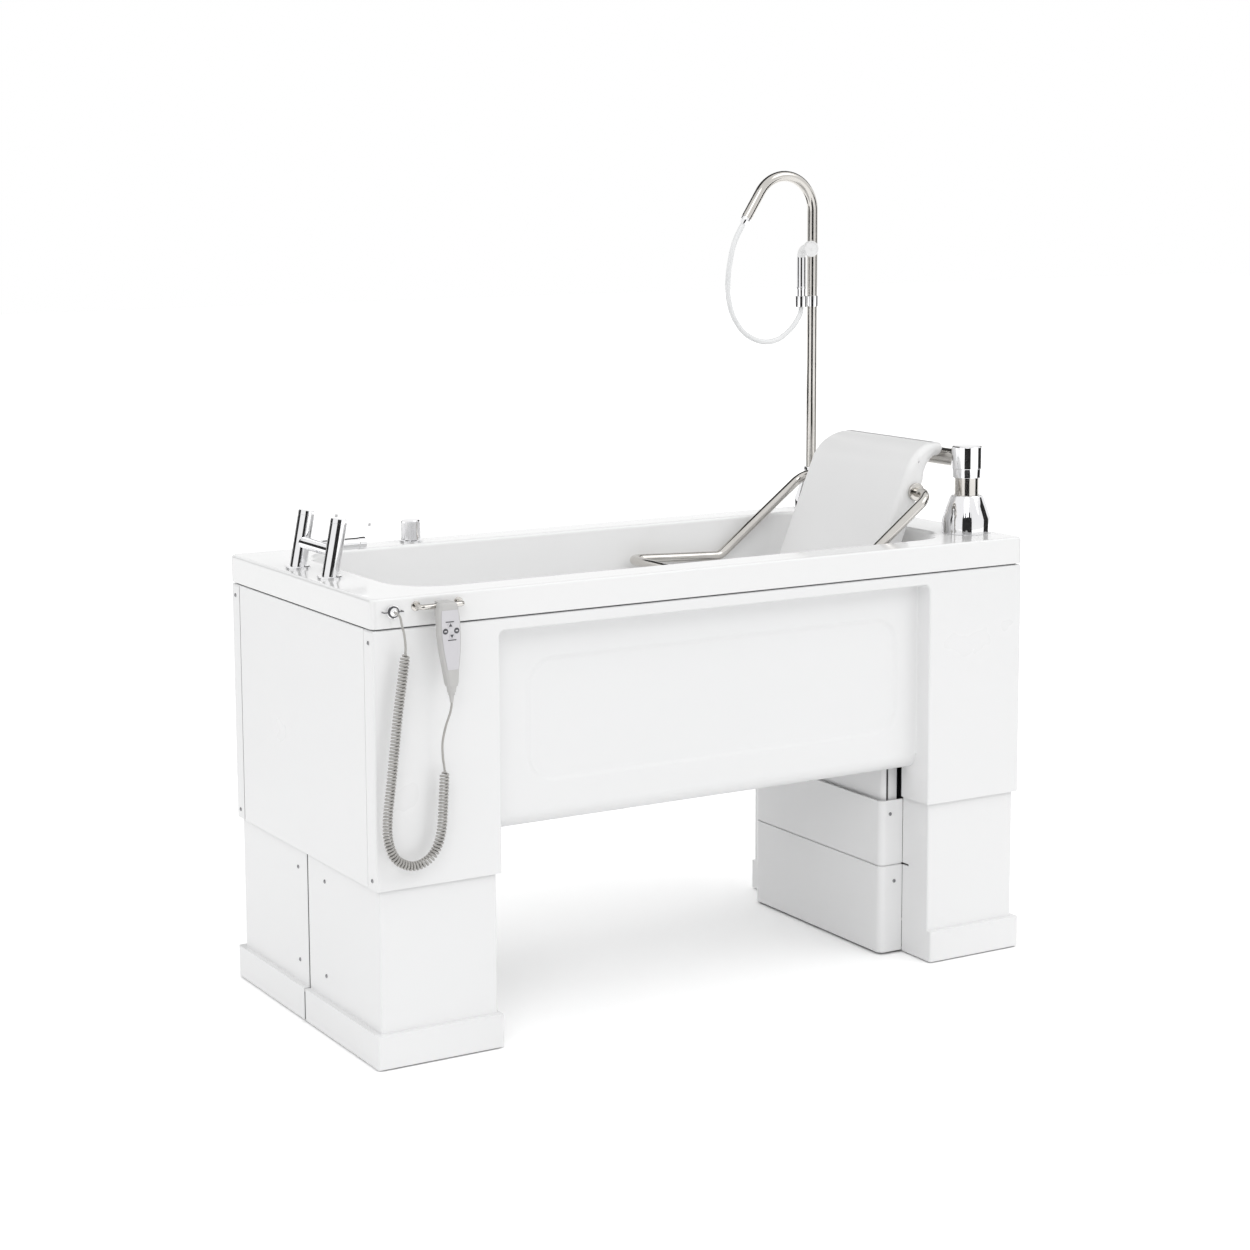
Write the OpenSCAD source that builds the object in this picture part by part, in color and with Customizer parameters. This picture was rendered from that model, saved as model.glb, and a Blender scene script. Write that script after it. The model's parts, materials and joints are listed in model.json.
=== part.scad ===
// Height-adjustable assisted bath with a lifting bath seat.
// X runs along the bath from the tap end (-) to the seat end (+), the near
// long side faces -Y and Z is up. The floor is z = 0. Sizes in millimetres.

/* [Tub] */
// length of the bath over its rim
bath_length = 1800; // [1700:10:1900]
// width of the bath over its rim
bath_width = 800; // [780:5:840]
// height of the rim above the floor as it stands here
rim_height = 1060; // [1030:5:1090]
// depth of the skirt round the rim
rim_depth = 66; // [50:1:75]
// thickness of the moulded tub
tub_wall = 8; // [6:0.5:9]
// deck between the rim edge and the well at the tap end
tap_deck = 130; // [120:1:140]
// deck between the rim edge and the well at the seat end
seat_deck = 138; // [132:1:145]
// deck beside the well
side_deck = 92; // [85:1:98]
// depth of the well
well_depth = 420; // [400:5:430]
// run of the sloping back wall from the well edge to the floor
back_slope = 262; // [240:2:270]
// run of the foot wall from the well edge to the floor
foot_slope = 80; // [60:2:90]
// how much each side wall leans in on its way down
side_slope = 50; // [30:2:54]
// radius of the well corners seen from above
well_corner = 130; // [100:5:140]
// radius between walls and floor inside the well
floor_radius = 60; // [40:5:70]

/* [Side and end mouldings] */
// how far the mouldings stand inside the rim edge
panel_inset = 2; // [1:0.5:3]
// dark gap between the rim skirt and the mouldings
panel_gap = 4; // [3:0.5:6]
// wall of the mouldings and covers
cover_wall = 5; // [4:0.5:5.5]
// length of the tap-end pedestal
tap_pedestal = 312; // [300:2:320]
// length of the seat-end pedestal
seat_pedestal = 286; // [280:2:296]
// height of the lower edge of the side mouldings above the floor
moulding_foot = 408; // [395:1:420]
// width of the flange that turns round the end
end_flange = 45; // [40:1:60]
// depth of the recessed apron
apron_depth = 50; // [40:1:52]
// strip above the apron
apron_band = 28; // [20:1:34]
// underside of the apron above the floor
apron_foot = 490; // [470:2:510]
// radius of the rolled lower edge of the apron
roll_radius = 40; // [30:1:46]
// depth of the embossed field
emboss_depth = 5; // [3:0.5:7]
// border between the recess and the embossed field at the tap end
emboss_tap = 92; // [70:2:110]
// border at the seat end
emboss_seat = 56; // [50:2:100]
// border above the field
emboss_above = 76; // [60:2:90]
// border below the field
emboss_below = 96; // [70:2:110]
// corner radius of the embossed field
emboss_radius = 70; // [50:2:76]

/* [Pedestals] */
// step between an upper moulding and the lower cover inside it
cover_inset = 10; // [8:0.5:12]
// top of the lower covers above the floor
lower_top = 520; // [500:5:525]
// height of the plinth
plinth_height = 81; // [60:1:90]
// step from the lower cover out to the plinth
plinth_step = 14; // [11:0.5:18]
// gap under the plinth
floor_gap = 4; // [2:0.5:6]
// corner radius of the lower covers seen from above
cover_corner = 5; // [4:0.5:12]
// slot between the two halves of the lower cover
cover_slot = 6; // [4:0.5:8]
// reach of the step box toward the bather
step_reach = 69; // [55:1:75]
// width of the step box
step_width = 568; // [540:2:580]
// height of the lower panel of the step box
step_low = 232; // [200:2:260]
// height of the upper panel of the step box
step_high = 400; // [380:2:405]
// top of the fixed inner wall of the tap-end pedestal
tap_wall_top = 360; // [340:2:365]
// length of the control box inside the seat-end pedestal
control_length = 110; // [100:2:120]
// width of the control box
control_width = 180; // [170:2:190]
// height of the control box
control_height = 150; // [140:2:160]
// clearance of the control box from the walls and the floor beside it
control_gap = 20; // [16:1:24]

/* [Lifting columns] */
// width of the square outer column
column_size = 90; // [80:1:96]
// wall of the outer column
column_wall = 5; // [4:0.5:6]
// running gap between the outer and the inner column
column_slip = 0.3; // [0.25:0.05:0.5]
// how far the bath can go down from here
lift_down = 260; // [200:5:262]

/* [Mixer] */
// distance between the two pillars
tap_spacing = 180; // [150:2:200]
// pillar diameter
pillar_d = 39; // [32:1:42]
// height of the pillars above the deck
pillar_height = 137; // [125:1:145]
// lean of the pillars toward the well in degrees
pillar_lean = 11; // [0:1:12]
// spout diameter
spout_d = 27; // [22:1:30]
// reach of the spout from the pillars
spout_reach = 118; // [100:1:125]
// length of a lever from the pillar centre
lever_length = 76; // [60:1:80]

/* [Waste] */
// diameter of the fluted knob
knob_d = 48; // [40:1:52]
// height of the fluted knob
knob_height = 49; // [40:1:56]
// number of flutes round the knob
knob_flutes = 40; // [24:2:44]
// bore of the waste in the floor of the well
waste_bore = 44; // [38:1:50]

/* [Seat] */
// diameter of the lift tube of the seat
lift_tube_d = 62; // [50:1:66]
// diameter of the head on the lift tube
head_d = 79; // [74:1:84]
// height of the head on the lift tube
head_height = 80; // [76:1:84]
// height of the column base on the deck
base_height = 96; // [80:1:110]
// travel of the seat
seat_travel = 450; // [350:10:460]
// width of the backrest
back_width = 424; // [400:2:440]
// thickness of the backrest
back_thick = 62; // [56:1:66]
// recline of the backrest from upright in degrees
back_recline = 23; // [20:0.5:25]
// radius of the rolled top edge over its front face
back_roll = 110; // [100:2:120]
// crest of the backrest above the rim
back_crest = 226; // [215:1:240]
// length of the seat pan
pan_length = 410; // [380:2:430]
// width of the seat pan
pan_width = 400; // [360:2:420]
// thickness of the seat pan
pan_thick = 40; // [36:1:44]
// corner radius of the seat pan
pan_round = 60; // [50:1:70]
// safety bar tube diameter
bar_d = 25; // [22:1:28]
// gap from the middle of the bar's side tubes to the edge of the well
bar_gap = 33; // [30:1:36]
// reach of the safety bar in front of its pivots
bar_reach = 551; // [540:1:560]
// drop of its front tube below the pivots
bar_drop = 190; // [180:1:195]
// reach of its two knees in front of the pivots
knee_reach = 271; // [260:1:280]
// drop of its two knees below the pivots
knee_drop = 203; // [195:1:208]

/* [Shower] */
// pole diameter
pole_d = 28; // [24:1:30]
// height of the pole above the deck up to its bend
pole_height = 805; // [760:5:860]
// bend radius of the gooseneck
neck_radius = 92; // [85:1:96]
// turn of the gooseneck in degrees
neck_turn = 147; // [140:1:150]
// hose diameter
hose_d = 14; // [10:0.5:15]
// length of the hand-shower handle
handle_length = 129; // [115:1:140]
// diameter of the hand-shower handle
handle_d = 24; // [20:0.5:26]

/* [Hand control] */
// length of the hook bar on the rim
hook_bar = 104; // [98:1:112]
// diameter of the hook bar
hook_bar_d = 12; // [10:0.5:13]
// how far the hook bar's axis stands off the rim
standoff = 26; // [22:0.5:30]
// length of the housing
hand_length = 186; // [170:1:190]
// greatest width of the housing
hand_width = 54; // [48:1:58]
// thickness of the housing
hand_thick = 26; // [22:0.5:28]
// travel of a button
press = 1.2; // [0.8:0.1:1.4]
// diameter of the cord's wire
wire_d = 5.2; // [4.5:0.1:5.8]
// outer diameter of the curls
curl_d = 22; // [18:0.5:24]
// number of curls
curls = 90; // [60:1:91]

/* [Hidden] */
$fn = 48;
half_l = bath_length / 2;
half_w = bath_width / 2;
run_gap = 0.3;                       // gap between pieces that move past each other
well_x0 = -half_l + tap_deck;
well_x1 = half_l - seat_deck;
well_y = half_w - side_deck;
floor_z = rim_height - well_depth;
tub_under = floor_z - tub_wall;      // underside of the well
deck_under = rim_height - tub_wall;
panel_top = rim_height - rim_depth - panel_gap;
face_x = half_l - panel_inset;       // outer faces of the upper mouldings
face_y = half_w - panel_inset;
in_x = face_x - cover_wall;
in_y = face_y - cover_wall;
tap_gap_x = -face_x + tap_pedestal;  // faces of the pedestals toward the leg gap
seat_gap_x = face_x - seat_pedestal;
low_x = face_x - cover_inset;
low_y = face_y - cover_inset;
low_in_y = low_y - cover_wall;
tap_low_x = tap_gap_x - cover_inset;
seat_low_x = seat_gap_x + cover_inset;
step_x = seat_low_x - step_reach;    // face of the step box
step_y = step_width / 2;
apron_y = face_y - apron_depth;
apron_top = panel_top - apron_band;
flange_deep_y = step_y + 6;          // inner flange beside the step box
flange_top = tub_under - 22;
pass_y = well_y + tub_wall + 28;     // half width of the space the tub passes through
rail_w = 24;                         // rails of the chassis, close to the side mouldings
rail_y = in_y - 3 - rail_w;
seat_col_x = low_x - cover_wall - 6 - column_size / 2;
tap_col_x = -seat_col_x;
tap_x = -half_l + 52;                // pillars of the mixer
tap_y = 20;
knob_x = -half_l + 466;
knob_y = half_w - side_deck / 2;
waste_x = -half_l + 370;
col_x = half_l - seat_deck / 2;      // seat column
col_y = -half_w + 141;
pole_x = half_l - 125;
pole_y = half_w - 55;
head_z = rim_height + 141;           // underside of the head
arm_z = head_z + 44;
pivot = [well_x1 - 58, rim_height + 107];   // x, z of the safety bar's axis
hand_x = -half_l + 164;
hook_z = rim_height - 22;
hand_top = hook_z + 10;
hand_back = half_w + standoff + hook_bar_d / 2 + run_gap;
hand_front = hand_back + hand_thick;
gland_x = -half_l + 48;
gland_z = rim_height - 29;

// the origin is the middle of the footprint: the hand control reaches further
// out on the near side than the plinth does on the far side
key_proud = press + 0.3;
shift_y = (hand_front + key_proud - low_y - plinth_step) / 2;
module place() translate([0, shift_y, 0]) children();

// ---- helpers -------------------------------------------------------------
function lerp(a, b, t) = a + (b - a) * t;
function unit(v) = v / norm(v);

// rounded rectangle from (x0,y0) to (x1,y1), corners made of arcs
module slab2(x0, y0, x1, y1, r) {
    translate([x0 + r, y0]) square([x1 - x0 - 2 * r, y1 - y0]);
    translate([x0, y0 + r]) square([x1 - x0, y1 - y0 - 2 * r]);
    for (x = [x0 + r, x1 - r], y = [y0 + r, y1 - r]) translate([x, y]) circle(r);
}
// box given by two corners
module box(a, b) translate(a) cube(b - a);
// the same box on both long sides
module both_sides() { children(); mirror([0, 1, 0]) children(); }

// points of a rounded rectangle at height z, n steps to a corner
function ring(cx, cy, hx, hy, r, z, n = 6) = [
    for (k = [0:3], i = [0:n])
        let (a = 90 * k + 90 * i / n,
             sx = (k == 0 || k == 3) ? 1 : -1, sy = k < 2 ? 1 : -1)
        [cx + sx * (hx - r) + r * cos(a), cy + sy * (hy - r) + r * sin(a), z]];
// closed solid through a stack of rings of equal count; its two ends are fans of
// triangles, or the flat faces listed in ends where the outline isn't convex
module loft(rings, ends = []) {
    m = len(rings[0]);
    n = len(rings);
    o = (n - 1) * m;
    polyhedron(
        points = [for (r = rings, p = r) p],
        faces = concat(
            [for (j = [0:n - 2], i = [0:m - 1])
                let (a = j * m + i, b = j * m + (i + 1) % m) [a, b + m, b]],
            [for (j = [0:n - 2], i = [0:m - 1])
                let (a = j * m + i, b = j * m + (i + 1) % m) [a, a + m, b + m]],
            len(ends) > 0 ? [for (f = ends) each [f, [for (i = [len(f) - 1:-1:0]) o + f[i]]]]
                : [for (i = [1:m - 2]) each [[0, i, i + 1], [o, o + i + 1, o + i]]]));
}

// straight rod between two points
module rod(a, b, r) {
    v = b - a;
    translate(a) rotate([0, acos(v[2] / norm(v)), atan2(v[1], v[0])])
        cylinder(r = r, h = norm(v));
}
// points round corner p of radius bend, coming from a and going to b
function corner(a, p, b, bend, n) =
    let (u = unit(p - a), v = unit(b - p), turn = acos(u * v), w = cross(unit(cross(u, v)), u),
         s = p - u * bend * tan(turn / 2))
    [for (k = [0:n]) s + bend * (w * (1 - cos(turn * k / n)) + u * sin(turn * k / n))];
// path through the corners pts, every bend of the same radius
function bends(pts, bend, n = 6) = concat([pts[0]],
    [for (i = [1:len(pts) - 2]) each corner(pts[i - 1], pts[i], pts[i + 1], bend, n)],
    [pts[len(pts) - 1]]);
function heading(path, i) = unit(path[min(i + 1, len(path) - 1)] - path[max(i - 1, 0)]);
// a side direction carried along the path without twist
function carry(path, u, i = 0, acc = []) = i >= len(path) ? acc
    : let (t = heading(path, i), v = unit(u - t * (u * t)))
      carry(path, v, i + 1, concat(acc, [v]));
// one closed tube round the path, side 0 of every ring turned toward sides[i]
module sweep(path, sides, r, n)
    loft([for (i = [0:len(path) - 1])
        let (t = heading(path, i), u = unit(sides[i] - t * (sides[i] * t)), v = cross(t, u))
        [for (k = [0:n - 1]) path[i] + r * (cos(360 * k / n) * u + sin(360 * k / n) * v)]]);
// bent tube of radius r
module bent(pts, bend, r, n = 20) {
    path = bends(pts, bend);
    first = heading(path, 0);
    sweep(path, carry(path, abs(first[2]) > 0.9 ? [1, 0, 0] : [0, 0, 1]), r, n);
}
// domed screw head on a face that looks toward -Y, or toward -X
module screw(p, toward_x = false) {
    translate(p) rotate(toward_x ? [0, -90, 0] : [90, 0, 0]) difference() {
        union() {
            cylinder(r = 4.6, h = 1.2);
            translate([0, 0, 1.2]) cylinder(r1 = 4.6, r2 = 3, h = 1);
        }
        translate([0, 0, 1]) cylinder(r = 1.9, h = 2, $fn = 6);
    }
}

// ---- cord routes -----------------------------------------------------------
// smooth curve through hand-chosen points (Catmull-Rom)
function spline_at(p, t) =
    let (n = len(p) - 1, i = min(floor(t), n - 1), f = t - i,
         a = p[max(i - 1, 0)], b = p[i], c = p[i + 1], d = p[min(i + 2, n)])
    0.5 * (2 * b + (c - a) * f + (2 * a - 5 * b + 4 * c - d) * f * f
        + (3 * b - a - 3 * c + d) * f * f * f);
function travelled(pts, i = 1, acc = [0]) = i >= len(pts) ? acc
    : travelled(pts, i + 1, concat(acc, [acc[i - 1] + norm(pts[i] - pts[i - 1])]));
// the curve as a table of [distance, parameter]
function gauge(p, steps = 12) =
    let (n = (len(p) - 1) * steps, q = [for (k = [0:n]) spline_at(p, k / steps)],
         s = travelled(q))
    [for (k = [0:n]) [s[k], k / steps]];
function total(g) = g[len(g) - 1][0];
function point_at(p, g, s) = spline_at(p, lookup(min(max(s, 0), total(g)), g));
// hose of the hand shower, from the outlet of the gooseneck to the handle
neck_mid = [pole_x - neck_radius, pole_y, rim_height + pole_height];
neck_dir = [-sin(neck_turn), 0, cos(neck_turn)];
neck_end = neck_mid + neck_radius * [cos(neck_turn), 0, sin(neck_turn)];
outlet = neck_end + 100 * neck_dir;
grip_x = pole_x - 36;                // axis of the hand shower's handle
grip_foot = rim_height + 552;        // lower end of the handle
hose_route = concat(
    [outlet, outlet + hose_d * neck_dir],
    [[521, 345, 1775], [506, 345, 1705], [505, 345, 1645], [521, 345, 1590],
     [558, 345, 1543], [612, 345, 1519], [664, 345, 1523], [706, 345, 1550],
     [730, 345, 1578]],
    [[grip_x, pole_y, grip_foot - hose_d], [grip_x, pole_y, grip_foot]]);

// curly cord, from the dome of the outlet ring to the strain relief
cord_y = -430;
dome_tip = [gland_x, -half_w - 20, gland_z];
relief_foot = [hand_x + 4, -hand_back - hand_thick / 2, hand_top - hand_length - 37];
cord_route = concat(
    [dome_tip, dome_tip + [0, -wire_d, 0]],
    [[-847, -432, 1022], [-843, cord_y, 1006], [-838, cord_y, 988], [-835, cord_y, 965],
     [-835, cord_y, 943], [-844, cord_y, 880], [-855, cord_y, 810], [-865, cord_y, 730],
     [-875, cord_y, 650], [-884, cord_y, 580], [-883, cord_y, 529], [-866, cord_y, 488],
     [-831, cord_y, 467], [-796, cord_y, 471], [-769, cord_y, 494], [-754, cord_y, 535],
     [-749, cord_y, 590], [-745, cord_y, 650], [-744, cord_y, 672], [-748, -431, 700],
     [-750, -434, 735], [-744, -439, 772], [-736, -444, 800]],
    [relief_foot - [0, 0, wire_d], relief_foot]);
cord_gauge = gauge(cord_route);
curl_from = cord_gauge[12 * 6][0];   // the curls run between these two distances
curl_to = cord_gauge[12 * 20][0];
curl_r = (curl_d - wire_d) / 2;
function swell(s) = let (ramp = 12) min(1, max(0, min(s - curl_from, curl_to - s) / ramp));
function cord_turn(s) = 360 * curls * (min(max(s, curl_from), curl_to) - curl_from)
    / (curl_to - curl_from);
function cord_side(s) =
    let (t = unit(point_at(cord_route, cord_gauge, s + 2)
            - point_at(cord_route, cord_gauge, s - 2)),
         x = unit([1, 0, 0.2] - t * ([1, 0, 0.2] * t)),
         flat = unit([0, 1, 0] - t * ([0, 1, 0] * t)), a = cord_turn(s))
    cos(a) * flat + sin(a) * cross(t, flat);
function ease(q) = q * q * (3 - 2 * q);
function cord_at(s) = point_at(cord_route, cord_gauge, s)
    + ease(swell(s)) * curl_r * cord_side(s);
function spread(a, b, n) = [for (i = [0:n - 1]) lerp(a, b, i / n)];
cord_stops = concat([0], spread(wire_d, curl_from, 9),
    spread(curl_from, curl_to, 8 * curls),
    spread(curl_to, total(cord_gauge) - wire_d, 9),
    [total(cord_gauge) - wire_d, total(cord_gauge)]);
cord_last = len(cord_stops) - 1;
cord_path = [for (i = [0:cord_last]) i < 2 ? cord_route[i]
    : i > cord_last - 2 ? cord_route[len(cord_route) - 1 - cord_last + i] : cord_at(cord_stops[i])];
cord_gap = min([for (i = [0:3:len(cord_path) - 1], j = [i + 6:len(cord_path) - 1])
    norm(cord_path[i] - cord_path[j])]) - wire_d;

// ---- base ------------------------------------------------------------------
// square hollow column
module outer_column(x) difference() {
    box([x - column_size / 2, -column_size / 2, 20],
        [x + column_size / 2, column_size / 2, 600]);
    box([x - column_size / 2 + column_wall, -column_size / 2 + column_wall, 19],
        [x + column_size / 2 - column_wall, column_size / 2 - column_wall, 601]);
}
foot_y = low_in_y - 45;
tap_foot_x = [-low_x + 40, tap_low_x - 40];
seat_foot_x = [seat_low_x + 40, low_x - 40];
plate_y = low_y + plinth_step - cover_wall;   // the plinth sits against the plate's ends
module base_plate(x0, x1) box([x0, -plate_y, 12], [x1, plate_y, 20]);
module foot_holes(xs) for (x = xs, y = [-foot_y, foot_y])
    translate([x, y, 11]) cylinder(d = 12.4, h = 10);

module tap_base() color("dimgray") difference() {
    union() {
        base_plate(-low_x + cover_wall, tap_low_x - 2 * cover_wall);
        box([tap_low_x - 20, -pass_y, 12], [tap_low_x, pass_y, 20]);
        outer_column(tap_col_x);
    }
    foot_holes(tap_foot_x);
}
module seat_base() color("dimgray") difference() {
    union() {
        base_plate(seat_low_x + 2 * cover_wall, low_x - cover_wall);
        translate([0, 0, 12]) linear_extrude(8) intersection() {
            slab2(step_x + cover_wall, -step_y + cover_wall, seat_low_x + 61,
                step_y - cover_wall, 13);
            translate([step_x, -step_y]) square([step_reach + 3 * cover_wall, step_width]);
        }
        outer_column(seat_col_x);
    }
    foot_holes(seat_foot_x);
}
module levelling_feet() color("black")
    for (x = concat(tap_foot_x, seat_foot_x), y = [-foot_y, foot_y]) translate([x, y, 0]) {
        cylinder(d = 56, h = 7);
        cylinder(d = 20, h = 12);
        cylinder(d = 12, h = 34);
        translate([0, 0, 20]) cylinder(d = 22, h = 8, $fn = 6);
    }

// wall between two rounded outlines, from z0 to z1: the outer one is the lower
// cover moved out by grow, the inner one moved out by grow - wall
module cover_band(x0, x1, side0, side1, out, wall, z0, z1)
    translate([0, 0, z0]) linear_extrude(z1 - z0) difference() {
        slab2(x0 - side0, -low_y - out, x1 + side1, low_y + out, cover_corner);
        slab2(x0 - side0 + wall, -low_y - out + wall,
              x1 + side1 - wall, low_y + out - wall, max(cover_corner - wall / 2, 1));
    }
// complete lower cover with its plinth; out0 and out1 are the plinth's steps
// beyond the cover at its two ends
module lower_cover(x0, x1, out0, out1) {
    cover_band(x0, x1, out0, out1, plinth_step, cover_wall, floor_gap, plinth_height);
    difference() {
        cover_band(x0, x1, out0, out1, plinth_step, plinth_step + cover_wall,
            plinth_height - cover_wall, plinth_height);
    }
    cover_band(x0, x1, 0, 0, 0, cover_wall, plinth_height - cover_wall, lower_top);
}
gap_step = 9;                        // the tap-end plinth's step on the leg-gap side
module tap_cover() difference() {
    lower_cover(-low_x, tap_low_x, plinth_step, gap_step);
    box([tap_low_x - 2 * cover_wall - 2, -pass_y - 1, -1],
        [tap_low_x + 40, pass_y + 1, lower_top + 1]);
    box([-half_l - 60, -cover_slot / 2, -1], [-low_x + 60, cover_slot / 2, lower_top + 1]);
}
module seat_cover() difference() {
    lower_cover(seat_low_x, low_x, 0, plinth_step);
    box([seat_low_x - 40, -step_y - run_gap, -1],
        [seat_low_x + 2 * cover_wall + 2, step_y + run_gap, lower_top + 1]);
    box([low_x - 60, -cover_slot / 2, -1], [half_l + 60, cover_slot / 2, lower_top + 1]);
    for (s = [-1, 1]) translate([seat_low_x - 20, 0, step_low]) {   // short slit
        box([0, min(s * (step_y - 9), s * (step_y + 24)), -2.5],
            [40, max(s * (step_y - 9), s * (step_y + 24)), 2.5]);
        translate([0, s * (step_y + 24), 0]) rotate([0, 90, 0]) cylinder(d = 5, h = 40);
    }
}
module half(near) intersection() {
    children();
    box([-half_l - 50, near ? -half_w - 50 : 0, -1],
        [half_l + 50, near ? 0 : half_w + 50, lower_top + 1]);
}
module tap_cover_near() color("gainsboro") half(true) tap_cover();
module tap_cover_far() color("white") half(false) tap_cover();
module seat_cover_near() color("gainsboro") half(true) seat_cover();
module seat_cover_far() color("white") half(false) seat_cover();

// fixed wall toward the leg gap, low enough for the tub to pass over it
module tap_inner_wall() color("white")
    box([tap_low_x - cover_wall, -pass_y, 20], [tap_low_x, pass_y, tap_wall_top]);

// U-shaped wall of the step box with rounded front corners
module step_wall(z0, z1) translate([0, 0, z0]) linear_extrude(z1 - z0) difference() {
    slab2(step_x, -step_y, seat_low_x + 60, step_y, 18);
    slab2(step_x + cover_wall, -step_y + cover_wall, seat_low_x + 61, step_y - cover_wall, 13);
    translate([seat_low_x, -half_w]) square([100, bath_width]);
}
seam = 3;
module step_lower() color("gainsboro") step_wall(floor_gap + 2, step_low - seam / 2);
module step_upper() color("white") {
    step_wall(step_low + seam / 2, step_high);
    // tongue that stands on the lower panel behind the seam
    difference() {
        translate([0, 0, step_low - 20]) linear_extrude(45) difference() {
            slab2(step_x + cover_wall, -step_y + cover_wall, seat_low_x + 60,
                step_y - cover_wall, 13);
            slab2(step_x + 2 * cover_wall, -step_y + 2 * cover_wall, seat_low_x + 61,
                step_y - 2 * cover_wall, 8);
            translate([seat_low_x, -half_w]) square([100, bath_width]);
        }
    }
}
control_y = 70;
module control_box() color("dimgray") {
    z = control_gap + control_height;
    box([seat_low_x + control_gap, control_y, control_gap],
        [seat_low_x + control_gap + control_length, control_y + control_width, z]);
    for (y = control_y + control_width * [1 / 6, 1 / 3, 1 / 2])
        translate([seat_low_x + control_gap + control_length / 2, y, z]) cylinder(d = 16, h = 12);
}
module cover_screws() color("silver") {
    for (y = [-90, 60], z = [135, 360]) screw([-low_x, y - 6, z], true);
    screw([seat_low_x - 40, -step_y, 365]);
    screw([seat_low_x - 26, -step_y, 190]);
    mirror([0, 1, 0]) {
        screw([seat_low_x - 40, -step_y, 365]);
        screw([seat_low_x - 26, -step_y, 190]);
    }
}

// ---- bath: tub and mouldings -----------------------------------------------
// outline of the well at depth d, moved outward by out
function well(d, out, z) =
    let (t = d / well_depth, x0 = lerp(well_x0, well_x0 + foot_slope, t) - out,
         x1 = lerp(well_x1, well_x1 - back_slope, t) + out,
         hy = lerp(well_y, well_y - side_slope, t) + out)
    ring((x0 + x1) / 2, 0, (x1 - x0) / 2, hy, well_corner * (1 - 0.15 * t) + out, z);
// well outline where wall turns into floor, a = 0 at the wall and 90 at the floor
function well_turn(a, wall) =
    let (d = well_depth - floor_radius * (1 - sin(a)))
    well(d, wall * cos(a) - floor_radius * (1 - cos(a)), rim_height - d - wall * sin(a));
function rim(inset, z) = ring(0, 0, half_l - inset, half_w - inset, max(14 - inset, 6), z);
lip = 9;                             // radius of the well's upper edge
module tub() color("white") difference() {
    loft(concat(
        [for (a = [90:-22.5:0]) well_turn(a, tub_wall)],
        [for (d = [200, 100]) well(d, tub_wall, rim_height - d)],
        [well(tub_wall + 1, tub_wall, deck_under - 1), well(tub_wall, tub_wall + 1, deck_under)],
        [rim(7, deck_under), rim(6, deck_under - 1), rim(6, rim_height - rim_depth),
         rim(0, rim_height - rim_depth), rim(0, rim_height - 8)],
        [for (a = [30, 60, 90]) rim(8 * (1 - cos(a)), rim_height - 8 * (1 - sin(a)))],
        [for (a = [0:30:90]) well(0, lip * (1 - sin(a)), rim_height - lip * (1 - cos(a)))],
        [for (d = [100, 200]) well(d, 0, rim_height - d)],
        [for (a = [0:22.5:90]) well_turn(a, 0)]));
    for (y = [-1, 1]) translate([tap_x, tap_y + y * tap_spacing / 2, deck_under - 1])
        cylinder(d = 28, h = tub_wall + 2);
    translate([knob_x, knob_y, deck_under - 1]) cylinder(d = 20, h = tub_wall + 2);
    translate([col_x, col_y, deck_under - 1]) cylinder(d = lift_tube_d + 14, h = tub_wall + 2);
    translate([pole_x, pole_y, deck_under - 1]) cylinder(d = pole_d + 2, h = tub_wall + 2);
    translate([waste_x, 0, tub_under - 1]) cylinder(d = waste_bore + 1, h = tub_wall + 2);
    overflow_at() translate([0, 0, -30]) cylinder(d = 40.6, h = 60);
}
// overflow frame: Z leaves the foot wall into the well
overflow_depth = 85;
module overflow_at()
    translate([well_x0 + foot_slope * overflow_depth / well_depth, 0,
        rim_height - overflow_depth])
        rotate([0, 90 - atan(foot_slope / well_depth), 0]) children();

// a long side moulding, drawn for the near side
module side_moulding() {
    y0 = -face_y;
    y1 = -in_y;
    // front skin round the recess
    difference() {
        box([-face_x, y0, moulding_foot], [face_x, y1, panel_top]);
        box([tap_gap_x, y0 - 1, moulding_foot - 1], [seat_gap_x, y1 + 1, apron_top]);
    }
    // flanges round the two ends
    for (s = [-1, 1])
        box([s < 0 ? -face_x : in_x, y0, moulding_foot],
            [s < 0 ? -in_x : face_x, y0 + end_flange, panel_top]);
    // side walls of the recess and flanges toward the leg gap
    for (x = [tap_gap_x - cover_wall, seat_gap_x]) {
        box([x, y0, moulding_foot], [x + cover_wall, -apron_y + cover_wall, apron_top + cover_wall]);
        box([x, y0, moulding_foot], [x + cover_wall, -flange_deep_y, flange_top]);
    }
    // top wall of the recess and the lip under the chassis rail
    box([tap_gap_x - cover_wall, y0, apron_top],
        [seat_gap_x + cover_wall, -apron_y + cover_wall, apron_top + cover_wall]);
    box([-in_x, y0, panel_top - cover_wall], [in_x, -rail_y - rail_w / 2, panel_top]);
    // apron with its embossed field and rolled lower edge
    difference() {
        union() {
            box([tap_gap_x - cover_wall, -apron_y, apron_foot + roll_radius],
                [seat_gap_x + cover_wall, -apron_y + cover_wall, apron_top]);
            emboss(-apron_y + 1, -apron_y + cover_wall + emboss_depth, 6);
        }
        emboss(-apron_y - 1, -apron_y + emboss_depth, 0);
    }
    translate([tap_gap_x - cover_wall, -apron_y + roll_radius, apron_foot + roll_radius])
        rotate([90, 0, 90]) linear_extrude(seat_gap_x - tap_gap_x + 2 * cover_wall)
            difference() {
                intersection() {
                    circle(roll_radius, $fn = 64);
                    translate([-roll_radius, -roll_radius]) square(roll_radius);
                }
                circle(roll_radius - cover_wall, $fn = 64);
            }
}
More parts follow.
